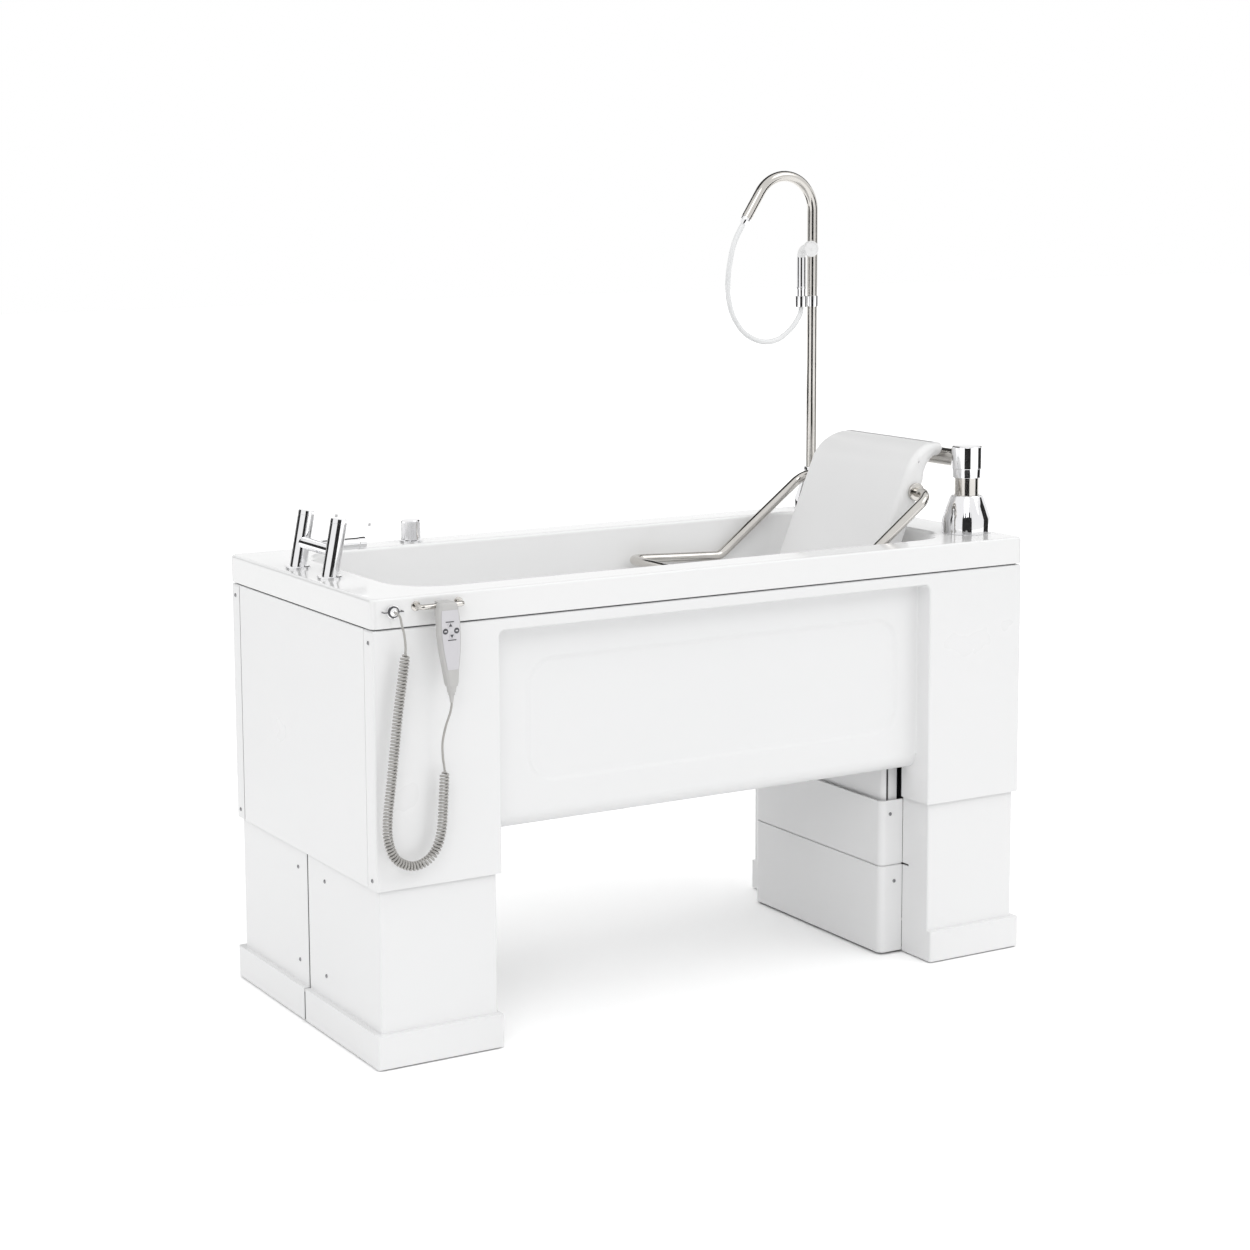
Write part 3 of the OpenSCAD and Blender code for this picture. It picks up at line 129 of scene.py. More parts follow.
def walk(points, rows, s):
    """The point at distance s along the curve."""
    s = min(max(s, 0.0), rows[-1][0])
    for (s0, t0), (s1, t1) in zip(rows, rows[1:]):
        if s <= s1:
            return on_curve(points, t0 + (t1 - t0) * (s - s0) / max(s1 - s0, 1e-9))


# %% [markdown]
# A tube is drawn as a curve with a round section and then turned into a mesh, so
# that it can bend between two bodies and take a pattern along its length.

# %% Helpers for objects


def clear():
    """Leaves edit mode and deselects everything."""
    if bpy.context.mode != "OBJECT":
        bpy.ops.object.mode_set(mode="OBJECT")
    bpy.ops.object.select_all(action="DESELECT")


def take(piece):
    """Selects only this piece."""
    clear()
    piece.select_set(True)
    bpy.context.view_layer.objects.active = piece
    return piece


def edit_all():
    """Enters edit mode with everything selected."""
    bpy.ops.object.mode_set(mode="EDIT")
    bpy.ops.mesh.select_all(action="SELECT")


def turn_outward():
    """Makes all faces of the edited piece look outward and leaves edit mode."""
    bpy.ops.mesh.select_all(action="SELECT")
    bpy.ops.mesh.normals_make_consistent(inside=False)
    bpy.ops.object.mode_set(mode="OBJECT")


def new_object(name, data):
    """A new object of the scene that shows this data."""
    piece = bpy.data.objects.new(name, data)
    bpy.context.scene.collection.objects.link(piece)
    return piece


def smooth(piece, angle=40):
    """Smooth shading, but for edges sharper than the angle."""
    take(piece)
    bpy.ops.object.shade_smooth_by_angle(angle=math.radians(angle))
    return piece


def tube(name, line, radius, sides):
    """A round tube with closed ends along the points of line."""
    data = bpy.data.curves.new(name, "CURVE")
    data.dimensions = "3D"
    spline = data.splines.new("POLY")
    spline.points.add(len(line) - 1)
    for point, place in zip(spline.points, line):
        point.co = (*place, 1)
    data.bevel_depth = radius
    data.bevel_resolution = (sides - 4) // 2
    data.use_fill_caps = True
    take(new_object(name, data))
    bpy.ops.object.convert(target="MESH")
    piece = bpy.context.view_layer.objects.active
    edit_all()
    bpy.ops.mesh.remove_doubles(threshold=0.00001)
    turn_outward()
    return smooth(piece)


# %% [markdown]
# The hose leaves the end of the gooseneck, hangs in one wide loop and comes back
# up into the foot of the hand shower. Its whole length shows in the picture.

# %% Shower hose
hose_d, hose_y, hose_steps = 14, 345, 90
neck_mid, neck_radius, neck_run = Vector((683, hose_y, 1865)), 92, 100
neck_turn = math.radians(147)
neck_dir = Vector((-math.sin(neck_turn), 0, math.cos(neck_turn)))
neck_end = neck_mid + neck_radius * Vector((math.cos(neck_turn), 0, math.sin(neck_turn)))
outlet = neck_end + neck_run * neck_dir
hose_points = [outlet, outlet + hose_d * neck_dir] + [Vector((x, hose_y, z)) for x, z in (
    (521, 1775), (506, 1705), (505, 1645), (521, 1590), (558, 1543), (612, 1519),
    (664, 1523), (706, 1550), (730, 1578), (739, 1598), (739, 1612))]
hose_rows = gauge(hose_points)
hose_total = hose_rows[-1][0]
hose_line = [hose_points[0], hose_points[1]]
hose_line += [
    walk(hose_points, hose_rows, hose_d + (hose_total - 2 * hose_d) * i / hose_steps)
    for i in range(1, hose_steps)]
hose_line += [hose_points[-2], hose_points[-1]]
hose_line = [at(*p) for p in hose_line]
hose = tube("hose_of_hand_shower", hose_line, hose_d / 2000, 20)
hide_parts("shower_hose")
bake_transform(hose)

# %% [markdown]
# The curly cord is one wire wound round a hanging line. The curls start a little
# below the gland and stop before the strain relief. A formula winds them: the
# line gives the middle, and an angle that grows with distance gives the turn.

# %% Curly cord
wire_d, curl_d, curls = 5.2, 22.0, 100
first_curl, last_curl = 6, 20           # the points between which the wire curls
lead_steps, rings, tail_steps = 24, 18, 40
curl_fade, reach = 12, 2
cord_y = -430
dome_tip = Vector((-852, -420, 1031))
relief_foot = Vector((-732, -445.3, 825))
cord_points = [dome_tip, dome_tip + Vector((0, -wire_d, 0))] + [Vector(p) for p in (
    (-847, -432, 1022), (-843, cord_y, 1006), (-838, cord_y, 988), (-835, cord_y, 965),
    (-835, cord_y, 943), (-844, cord_y, 880), (-855, cord_y, 810), (-865, cord_y, 730),
    (-875, cord_y, 650), (-884, cord_y, 580), (-883, cord_y, 529), (-866, cord_y, 488),
    (-831, cord_y, 467), (-796, cord_y, 471), (-769, cord_y, 494), (-754, cord_y, 535),
    (-749, cord_y, 590), (-745, cord_y, 650), (-744, cord_y, 672), (-748, -431, 700),
    (-750, -434, 735), (-744, -439, 772), (-736, -444, 800))]
cord_points += [relief_foot - Vector((0, 0, wire_d)), relief_foot]
cord_rows = gauge(cord_points)
cord_total = cord_rows[-1][0]
curl_from = cord_rows[gauge_steps * first_curl][0]
curl_to = cord_rows[gauge_steps * last_curl][0]


def cord_place(s):
    """The middle of the wire at distance s along the hanging line."""
    ahead = walk(cord_points, cord_rows, s + reach)
    along = (ahead - walk(cord_points, cord_rows, s - reach)).normalized()
    flat = Vector((0, 1, 0))
    flat = (flat - along * flat.dot(along)).normalized()
    wound = min(max(s, curl_from), curl_to) - curl_from
    angle = 2 * math.pi * curls * wound / (curl_to - curl_from)
    side = math.cos(angle) * flat + math.sin(angle) * along.cross(flat)
    grow = min(1, max(0, min(s - curl_from, curl_to - s) / curl_fade))
    offset = grow * grow * (3 - 2 * grow) * (curl_d - wire_d) / 2
    return walk(cord_points, cord_rows, s) + offset * side


stops = []
for start, end, steps in ((wire_d, curl_from, lead_steps), (curl_from, curl_to, rings * curls),
                          (curl_to, cord_total - wire_d, tail_steps)):
    stops += [start + (end - start) * i / steps for i in range(steps)]
cord_line = [cord_points[0]] + [cord_place(s) for s in stops] + cord_points[-2:]
cord_line[1] = cord_points[1]
cord_line = [at(*p) for p in cord_line]
cord = tube("curly_cord_of_hand_control", cord_line, wire_d / 2000, 12)
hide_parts("curly_cord")
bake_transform(cord)

# %% [markdown]
# ## Finishes
# Every finish is a few nodes on Object coordinates: a base colour that drifts a
# little, a roughness that isn't quite even and a fine bump. The helpers below
# add one of these three to a plain material.

# %% Helpers for finishes


def plain(name, colour, roughness, metallic=0, coat=0, coat_roughness=0.05):
    """A material with one colour, ready for the details."""
    finish = bpy.data.materials.new(name)
    finish.use_nodes = True
    shader = finish.node_tree.nodes["Principled BSDF"]
    shader.inputs["Base Color"].default_value = (*colour, 1)
    shader.inputs["Roughness"].default_value = roughness
    shader.inputs["Metallic"].default_value = metallic
    shader.inputs["Coat Weight"].default_value = coat
    shader.inputs["Coat Roughness"].default_value = coat_roughness
    return finish


def noise(finish, scale, detail):
    """A noise texture that sits still on the object."""
    nodes, links = finish.node_tree.nodes, finish.node_tree.links
    place = nodes.new("ShaderNodeTexCoord")
    texture = nodes.new("ShaderNodeTexNoise")
    texture.inputs["Scale"].default_value = scale
    texture.inputs["Detail"].default_value = detail
    links.new(place.outputs["Object"], texture.inputs["Vector"])
    return texture


def ranged(finish, texture, low, high):
    """The texture's value spread over the range low to high."""
    nodes, links = finish.node_tree.nodes, finish.node_tree.links
    spread = nodes.new("ShaderNodeMapRange")
    spread.inputs["From Min"].default_value = 0.3
    spread.inputs["From Max"].default_value = 0.7
    spread.inputs["To Min"].default_value = low
    spread.inputs["To Max"].default_value = high
    links.new(texture.outputs["Fac"], spread.inputs["Value"])
    return spread.outputs["Result"]


def drift(finish, first, second, scale):
    """Lets the base colour drift between two shades."""
    nodes, links = finish.node_tree.nodes, finish.node_tree.links
    mix = nodes.new("ShaderNodeMix")
    mix.data_type = "RGBA"
    mix.inputs["A"].default_value = (*first, 1)
    mix.inputs["B"].default_value = (*second, 1)
    links.new(ranged(finish, noise(finish, scale, 3.0), 0, 1), mix.inputs["Factor"])
    links.new(mix.outputs["Result"], nodes["Principled BSDF"].inputs["Base Color"])


def wiped(finish, low, high, scale):
    """Makes the roughness uneven, as on a surface that is wiped clean."""
    links = finish.node_tree.links
    rough = ranged(finish, noise(finish, scale, 4.0), low, high)
    links.new(rough, finish.node_tree.nodes["Principled BSDF"].inputs["Roughness"])


def bumpy(finish, scale, strength, depth, detail=2.0):
    """Adds a fine relief."""
    nodes, links = finish.node_tree.nodes, finish.node_tree.links
    bump = nodes.new("ShaderNodeBump")
    bump.inputs["Strength"].default_value = strength
    bump.inputs["Distance"].default_value = depth
    links.new(noise(finish, scale, detail).outputs["Fac"], bump.inputs["Height"])
    links.new(bump.outputs["Normal"], nodes["Principled BSDF"].inputs["Normal"])


# %% [markdown]
# The tub is polished sanitary acrylic. The mouldings, the covers and the seat
# are a harder plastic with a softer gloss and a faint orange peel.

# %% White finishes
acrylic = plain("white_acrylic", (0.9, 0.9, 0.9), 0.14, coat=0.3, coat_roughness=0.04)
drift(acrylic, (0.892, 0.894, 0.895), (0.902, 0.902, 0.901), 1.6)
wiped(acrylic, 0.13, 0.16, 5.0)
bumpy(acrylic, 260, 0.04, 0.0003)

cover_white = plain("white_cover", (0.88, 0.885, 0.89), 0.3, coat=0.15, coat_roughness=0.12)
drift(cover_white, (0.879, 0.882, 0.885), (0.889, 0.89, 0.892), 1.3)
wiped(cover_white, 0.27, 0.33, 3.0)
bumpy(cover_white, 420, 0.06, 0.0003)

seat_white = plain("white_seat", (0.88, 0.88, 0.88), 0.34, coat=0.1, coat_roughness=0.2)
drift(seat_white, (0.874, 0.875, 0.876), (0.888, 0.888, 0.887), 4.0)
wiped(seat_white, 0.31, 0.38, 9.0)
bumpy(seat_white, 700, 0.08, 0.0003)

# %% [markdown]
# Chrome is nearly a mirror, so its look comes from what stands around it. The
# tubes are polished stainless steel: slightly warm, with a fine relief that softens
# what they reflect. The screws are darker, and the frames wear a grey powder coat.

# %% Metal finishes
chrome = plain("chrome", (0.86, 0.86, 0.87), 0.05, metallic=1)
drift(chrome, (0.84, 0.84, 0.855), (0.88, 0.88, 0.885), 20.0)
wiped(chrome, 0.03, 0.08, 30.0)

steel = plain("stainless_tube", (0.62, 0.6, 0.57), 0.14, metallic=1)
drift(steel, (0.59, 0.57, 0.54), (0.66, 0.64, 0.61), 12.0)
wiped(steel, 0.1, 0.17, 60.0)
bumpy(steel, 900, 0.06, 0.0001, 3.0)

screw_steel = plain("screw_steel", (0.3, 0.3, 0.31), 0.3, metallic=1)
wiped(screw_steel, 0.22, 0.4, 400.0)

frame_steel = plain("powder_coated_steel", (0.16, 0.165, 0.17), 0.55)
drift(frame_steel, (0.14, 0.145, 0.15), (0.18, 0.185, 0.19), 30.0)
bumpy(frame_steel, 1200, 0.3, 0.0003)

# %% Rubber, cord and hand control finishes
rubber = plain("black_rubber", (0.03, 0.03, 0.03), 0.7)
drift(rubber, (0.025, 0.025, 0.026), (0.045, 0.045, 0.045), 40.0)
bumpy(rubber, 900, 0.3, 0.0003)

cord_grey = plain("grey_cord_sheath", (0.42, 0.41, 0.39), 0.42)
drift(cord_grey, (0.38, 0.37, 0.355), (0.46, 0.45, 0.43), 60.0)
bumpy(cord_grey, 1500, 0.15, 0.0002)

hose_white = plain("soft_white_hose", (0.86, 0.87, 0.875), 0.3, coat=0.3, coat_roughness=0.15)
drift(hose_white, (0.84, 0.85, 0.855), (0.88, 0.885, 0.89), 25.0)
bumpy(hose_white, 300, 0.06, 0.0003)

hand_grey = plain("grey_housing", (0.56, 0.555, 0.545), 0.42)
drift(hand_grey, (0.54, 0.535, 0.525), (0.58, 0.575, 0.565), 35.0)
bumpy(hand_grey, 2200, 0.25, 0.0002)

foil = plain("keypad_foil", (0.66, 0.65, 0.675), 0.36)
drift(foil, (0.65, 0.64, 0.665), (0.67, 0.66, 0.685), 45.0)
bumpy(foil, 2600, 0.12, 0.0001)

key_dark = plain("dark_key", (0.07, 0.07, 0.078), 0.45)
drift(key_dark, (0.06, 0.06, 0.068), (0.085, 0.085, 0.095), 120.0)
bumpy(key_dark, 2600, 0.15, 0.0001)

pipe_grey = plain("grey_pipe", (0.45, 0.46, 0.47), 0.5)
drift(pipe_grey, (0.42, 0.43, 0.44), (0.48, 0.49, 0.5), 25.0)
bumpy(pipe_grey, 900, 0.15, 0.0003)

for piece, finish in ((hose, hose_white), (cord, cord_grey)):
    piece.data.materials.clear()
    piece.data.materials.append(finish)

# %% [markdown]
# Each solid of the CAD model first gets the finish of its material. Later cells
# replace the ones whose shape deserves more.

# %% Finishes of the CAD solids
finish_of = {
    "acrylic": acrylic, "cover_white": cover_white, "frame_steel": frame_steel,
    "foot_rubber": rubber, "box_grey": pipe_grey, "stainless": steel, "chrome": chrome,
    "braid": screw_steel, "pipe_grey": pipe_grey, "hose_white": hose_white,
    "handset_white": seat_white, "clip_dark": key_dark, "cord_grey": cord_grey,
    "seat_white": seat_white, "hand_grey": hand_grey, "keypad": foil, "key_grey": key_dark}
slot_of = {s["node"]: s["material_slot"] for s in frame["record"]["subparts"]}
for node, solid in frame["nodes"].items():
    finish = screw_steel if node.endswith("screws") else finish_of[slot_of[node]]
    solid.data.materials.clear()
    solid.data.materials.append(finish)
print("finishes on", len(slot_of), "solids")

# %% [markdown]
# ## Room and light
# The picture has a white floor that melts into a white background. Nearly all
# the light comes from everywhere, as in a white tent that is brighter overhead than
# at its sides. Two soft lamps help, from the upper right and from the left front.
# Light Path tells who is looking: the camera, and what mirrors the room, see plain
# white, and the floor keeps its shadows.

# %% World


def seen_directly(tree):
    """1 for camera, glossy and transmission rays, 0 for the light on surfaces."""
    path = tree.nodes.new("ShaderNodeLightPath")
    total = path.outputs["Is Camera Ray"]
    for kind in ("Is Glossy Ray", "Is Transmission Ray"):
        larger = tree.nodes.new("ShaderNodeMath")
        larger.operation = "MAXIMUM"
        tree.links.new(total, larger.inputs[0])
        tree.links.new(path.outputs[kind], larger.inputs[1])
        total = larger.outputs[0]
    return total


side_light, top_light, top_height = 0.58, 0.99, 0.9
world = bpy.data.worlds.new("studio")
bpy.context.scene.world = world
world.use_nodes = True
tree = world.node_tree
way = tree.nodes.new("ShaderNodeTexCoord")
height = tree.nodes.new("ShaderNodeSeparateXYZ")
tree.links.new(way.outputs["Generated"], height.inputs["Vector"])
sky = tree.nodes.new("ShaderNodeMapRange")
sky.inputs["From Max"].default_value = top_height
sky.inputs["To Min"].default_value = side_light
sky.inputs["To Max"].default_value = top_light
tree.links.new(height.outputs["Z"], sky.inputs["Value"])
level = tree.nodes.new("ShaderNodeMapRange")
tree.links.new(sky.outputs["Result"], level.inputs["To Min"])
level.inputs["To Max"].default_value = 1
tree.links.new(seen_directly(tree), level.inputs["Value"])
background = tree.nodes["Background"]
background.inputs["Color"].default_value = (1, 1, 1, 1)
tree.links.new(level.outputs["Result"], background.inputs["Strength"])
bpy.context.scene.view_settings.view_transform = "Standard"

# %% Floor
clear()
bpy.ops.mesh.primitive_plane_add(size=60, location=(0, 0, 0))
floor = bpy.context.active_object
floor.name = "floor"
floor_white = bpy.data.materials.new("floor_white")
floor_white.use_nodes = True
tree = floor_white.node_tree
shader = tree.nodes["Principled BSDF"]
shader.inputs["Base Color"].default_value = (0.96, 0.96, 0.96, 1)
shader.inputs["Roughness"].default_value = 0.6
shader.inputs["Specular IOR Level"].default_value = 0.2
bright = tree.nodes.new("ShaderNodeBsdfDiffuse")
bright.inputs["Color"].default_value = (1.3, 1.3, 1.3, 1)
swap = tree.nodes.new("ShaderNodeMixShader")
tree.links.new(seen_directly(tree), swap.inputs["Fac"])
tree.links.new(shader.outputs["BSDF"], swap.inputs[1])
tree.links.new(bright.outputs["BSDF"], swap.inputs[2])
tree.links.new(swap.outputs["Shader"], tree.nodes["Material Output"].inputs["Surface"])
floor.data.materials.append(floor_white)

# %% Lamps


def far_lamp(name, way, strength, spread):
    """A lamp so large and far off that its light is the same all over."""
    data = bpy.data.lights.new(name, "SUN")
    data.energy = strength
    data.angle = math.radians(spread)
    light = new_object(name, data)
    light.location = Vector(way) * 5
    light.rotation_euler = Vector(way).to_track_quat("Z", "Y").to_euler()


far_lamp("lamp_upper_right", (0.5, -0.6, 0.75), 0.38, 38)
far_lamp("lamp_left_front", (-0.5, -0.66, 0.55), 0.3, 24)

# %% [markdown]
# A photographer stands dark boards around the bath and hangs one above it, so that
# chrome gets its black stripes. Only reflections see these boards.

# %% Dark boards
board_black = plain("board_black", (0.012, 0.012, 0.012), 0.9)


def board(name, left, right, low, high):
    """An upright board between two floor points, seen only in reflections."""
    clear()
    middle = ((left[0] + right[0]) / 2, (left[1] + right[1]) / 2, (low + high) / 2)
    wide = math.dist(left, right)
    bpy.ops.mesh.primitive_plane_add(size=1, location=middle, rotation=(
        math.pi / 2, 0, math.atan2(right[1] - left[1], right[0] - left[0])))
    sheet = bpy.context.active_object
    sheet.name = name
    sheet.scale = (wide, high - low, 1)
    sheet.data.materials.append(board_black)
    sheet.visible_camera = False
    sheet.visible_diffuse = False
    sheet.visible_transmission = False
    sheet.visible_shadow = False
    return sheet


board("board_beside_camera", (-3.1, -2.8), (-0.1, -4.6), 0.05, 2.8)
board("board_behind_left", (-2.0, 3.3), (-3.2, 1.0), 0.95, 2.4)
board("board_low_left", (0.2, 2.7), (-1.2, 1.8), 0.1, 1.25)
board("board_right", (3.6, -2.6), (4.6, -0.6), 0.1, 2.4)
over = board("board_over", (-0.5, 4.0), (5.5, 4.0), 0.0, 5.0)
over.rotation_euler = (0, 0, 0)
over.location = (2.5, 3.2, 3.3)

# %% [markdown]
# ## Shaping tools
# Pieces are shaped as by hand: add a primitive, go into edit mode, select by
# place and run an operator. `pick` does the selecting.

# %% Selecting by place


def pick(piece, kind, test):
    """Selects the faces or edges of piece where test(middle, direction) holds."""
    if bpy.context.mode != "OBJECT":
        bpy.ops.object.mode_set(mode="OBJECT")
    mesh = piece.data
    bpy.context.tool_settings.mesh_select_mode = (False, kind == "EDGE", kind == "FACE")
    for group in (mesh.vertices, mesh.edges, mesh.polygons):
        for element in group:
            element.select = False
    chosen = []
    if kind == "FACE":
        chosen = [face for face in mesh.polygons if test(face.center, face.normal)]
    else:
        for edge in mesh.edges:
            a, b = (mesh.vertices[i].co for i in edge.vertices)
            if test((a + b) / 2, (b - a).normalized()):
                chosen.append(edge)
    for element in chosen:
        element.select = True
    bpy.ops.object.mode_set(mode="EDIT")
    return len(chosen)


def near(a, b, slack=0.0005):
    """Whether two places agree, as a rule to half a millimetre."""
    return abs(a - b) < slack


# %% Working on what is selected


def extrude(way):
    """Extrudes what is selected along way, in metres."""
    bpy.ops.mesh.extrude_region_move(TRANSFORM_OT_translate={"value": way})


def round_edges(radius, segments):
    """Rounds the edges that are selected."""
    bpy.ops.mesh.bevel(offset=radius, segments=segments, affect="EDGES")


def cut(place, direction):
    """Cuts straight through what is selected, at this distance along direction."""
    bpy.ops.mesh.bisect(plane_co=place * direction, plane_no=direction)


# %% Working on whole pieces


def plane(name, middle, wide, high, turn=(0, 0, 0)):
    """A flat rectangle round middle, in metres, with its size in its mesh."""
    clear()
    bpy.ops.mesh.primitive_plane_add(size=1, location=middle, rotation=turn)
    piece = bpy.context.active_object
    piece.name = name
    piece.scale = (wide, high, 1)
    bpy.ops.object.transform_apply(location=True, rotation=True, scale=True)
    return piece


def bevelled(piece, width, segments, angle):
    """Rounds every edge of the active piece that is sharper than the angle."""
    bevel = piece.modifiers.new("edges", "BEVEL")
    bevel.width = width
    bevel.segments = segments
    bevel.limit_method = "ANGLE"
    bevel.angle_limit = math.radians(angle)
    bpy.ops.object.modifier_apply(modifier=bevel.name)


def weighted(piece, angle=40):
    """Smooth shading that leaves large flat faces flat."""
    smooth(piece, angle)
    modifier = piece.modifiers.new("weighted", "WEIGHTED_NORMAL")
    modifier.mode = "FACE_AREA"
    modifier.keep_sharp = True
    bpy.ops.object.modifier_apply(modifier=modifier.name)
    return piece


def face_out(piece, way):
    """Turns a shell over where its largest face along way looks inward."""
    large = max(piece.data.polygons, key=lambda f: f.area * (f.normal.dot(way) ** 2))
    if large.normal.dot(way) < 0:
        take(piece)
        edit_all()
        bpy.ops.mesh.flip_normals()
        bpy.ops.object.mode_set(mode="OBJECT")
        print(piece.name, "turned over")


def finished(piece, body, slot, finish, *nodes):
    """Gives a finished piece its finish and its body, and hides the solids it stands for."""
    clear()
    piece.data.materials.clear()
    piece.data.materials.append(finish)
    if nodes:
        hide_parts(*nodes)
    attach(piece, body)
    print(piece.name, len(piece.data.polygons), "faces on", body)


# %% [markdown]
# Many solids already have the right shape, but their edges are knife-sharp. A
# copy of the solid is merged, its flat triangles are dissolved into whole faces
# and every sharp edge is bevelled by a millimetre or two, which is what catches
# the light on real mouldings and castings.

# %% Softened copies of solids
body_of = {n: b for b, ns in frame["record"]["behaviour"]["bodies"].items() for n in ns}
flat_angle, sharp_angle = 0.6, 28


def softened(node, width, segments=2):
    """A copy of a solid with bevelled edges, which stands for that solid."""
    clear()
    piece = new_object(node + "_piece", frame["nodes"][node].data.copy())
    take(piece)
    if piece.data.has_custom_normals:
        bpy.ops.mesh.customdata_custom_splitnormals_clear()
    edit_all()
    bpy.ops.mesh.remove_doubles(threshold=0.00001)
    bpy.ops.mesh.dissolve_limited(angle_limit=math.radians(flat_angle))
    bpy.ops.object.mode_set(mode="OBJECT")
    bevelled(piece, width / 1000, segments, sharp_angle)
    weighted(piece, 32)
    finished(piece, body_of[node], slot_of[node], finish_of[slot_of[node]], node)


# %% [markdown]
# ## White pieces
# The tub is one moulding. Two rounded outlines, the rim's and the well's, are
# bridged to make the deck. The well's outline is then drawn down in steps, each
# a little smaller, and the rim's outline is drawn down as a skirt.

# %% Rounded outline


def outline(name, middle, wide, high, radius, steps, turn=(0, 0, 0)):
    """The edge of a rounded rectangle: a plane whose corner points are bevelled."""
    piece = plane(name, at(*middle), wide / 1000, high / 1000, turn)
    edit_all()
    bpy.ops.mesh.bevel(offset=radius / 1000, segments=steps, affect="VERTICES")
    bpy.ops.mesh.select_all(action="SELECT")
    bpy.ops.mesh.delete(type="ONLY_FACE")
    bpy.ops.object.mode_set(mode="OBJECT")
    return piece


def off_outline(across, along, half_across, half_along, radius):
    """How far a point lies outside a rounded rectangle round the origin."""
    a, b = abs(across) - half_across + radius, abs(along) - half_along + radius
    return math.hypot(max(a, 0), max(b, 0)) + min(max(a, b), 0) - radius


# %% Tub
tub_long, tub_wide, tub_corner, well_corner = 1800, 800, 14, 130
rim_z, floor_z = 1060, 640
well_deep = rim_z - floor_z
well_top, well_foot = (-770, 762, 308), (-690, 500, 258)    # from x, to x, half width


def well_size(depth):
    """Half length, half width and middle of the well at a depth, in metres."""
    t = depth / well_deep
    x0, x1, half_wide = (a + (b - a) * t for a, b in zip(well_top, well_foot))
    return (x1 - x0) / 2000, half_wide / 1000, (x0 + x1) / 2000


half_long, half_wide, well_mid = well_size(0)
tub = outline("tub_shell", (0, 0, rim_z), tub_long, tub_wide, tub_corner, 10)
well = outline("well_edge", (1000 * well_mid, 0, rim_z), 2000 * half_long, 2000 * half_wide,
               well_corner, 10)
take(tub)
well.select_set(True)
bpy.ops.object.join()
edit_all()
bpy.ops.mesh.bridge_edge_loops()


def in_well_edge(m, d):
    """Edges on the well's outline or inside it."""
    return (abs(m.x - well_mid) < half_long + 0.002
            and abs(m.y - mid_y) < half_wide + 0.0005)


print("well edge:", pick(tub, "EDGE", in_well_edge), "edges")
depth = 0
for next_depth in (120, 260, well_deep):
    half_a, wide_a, mid_a = well_size(depth)
    half_b, wide_b, mid_b = well_size(next_depth)
    extrude((mid_b - mid_a, 0, (depth - next_depth) / 1000))
    bpy.ops.transform.resize(value=(half_b / half_a, wide_b / wide_a, 1),
                             center_override=(mid_b, mid_y, 0))
    depth = next_depth
bpy.ops.mesh.edge_face_add()

# %% Tub: rounded floor, lip and skirt
floor_round, lip_round, well_round = 0.055, 0.008, 0.010
skirt_down, skirt_up, skirt_inside = 0.066, 0.058, (0.9935, 0.985, 1)
rim_line, floor_line = rim_z / 1000, floor_z / 1000
corner_slack = 0.0045


def on_rim_edge(m, d):
    """Edges of the outer outline, corners included."""
    return near(m.z, rim_line) and (
        near(abs(m.x), tub_long / 2000, corner_slack)
        or near(abs(m.y - mid_y), tub_wide / 2000, corner_slack))


pick(tub, "EDGE", lambda m, d: near(m.z, floor_line, 0.001))
round_edges(floor_round, 8)
pick(tub, "EDGE", on_rim_edge)
extrude((0, 0, -skirt_down))
extrude((0, 0, 0))
bpy.ops.transform.resize(value=skirt_inside, center_override=(0, mid_y, 0))
extrude((0, 0, skirt_up))
pick(tub, "EDGE", on_rim_edge)
round_edges(lip_round, 5)
pick(tub, "EDGE", lambda m, d: in_well_edge(m, d) and near(m.z, rim_line))
round_edges(well_round, 5)
turn_outward()
face_out(tub, Vector((0, 0, 1)))
weighted(tub)
finished(tub, "bath", "acrylic", acrylic, "tub")

# %% [markdown]
# The long side moulding is one shell: a flat front with a deep recess under the
# middle, where an apron hangs. It starts as a plane with cuts. The recess is pushed
# in, the apron's foot is rolled under, a wide field is pressed into the apron, and
# the shell gets its wall last. The far side is a mirrored copy.

# %% Side moulding: front, recess and apron
across, upward = Vector((1, 0, 0)), Vector((0, 0, 1))
upright = (math.pi / 2, 0, 0)
gap_x0, gap_x1 = -0.586, 0.612
side_long, foot_line, recess_top, top_line = 1.796, 0.408, 0.962, 0.99
recess_deep, apron_foot = 0.05, 0.53
face_y, apron_y = at(0, -398, 0).y, at(0, -348, 0).y
side = plane("near_side_moulding", at(0, -398, 699), side_long, top_line - foot_line, upright)
bpy.ops.object.mode_set(mode="EDIT")
for place, direction in ((gap_x0, across), (gap_x1, across), (recess_top, upward)):
    bpy.ops.mesh.select_all(action="SELECT")
    cut(place, direction)
pick(side, "FACE", lambda m, n: gap_x0 < m.x < gap_x1 and m.z < recess_top)
extrude((0, recess_deep, 0))
pick(side, "FACE", lambda m, n: near(m.z, foot_line))
bpy.ops.mesh.delete(type="FACE")
pick(side, "FACE", lambda m, n: m.y > face_y + 0.01)
cut(apron_foot, upward)
pick(side, "FACE", lambda m, n: near(m.y, apron_y) and m.z < apron_foot)
bpy.ops.mesh.delete(type="FACE")

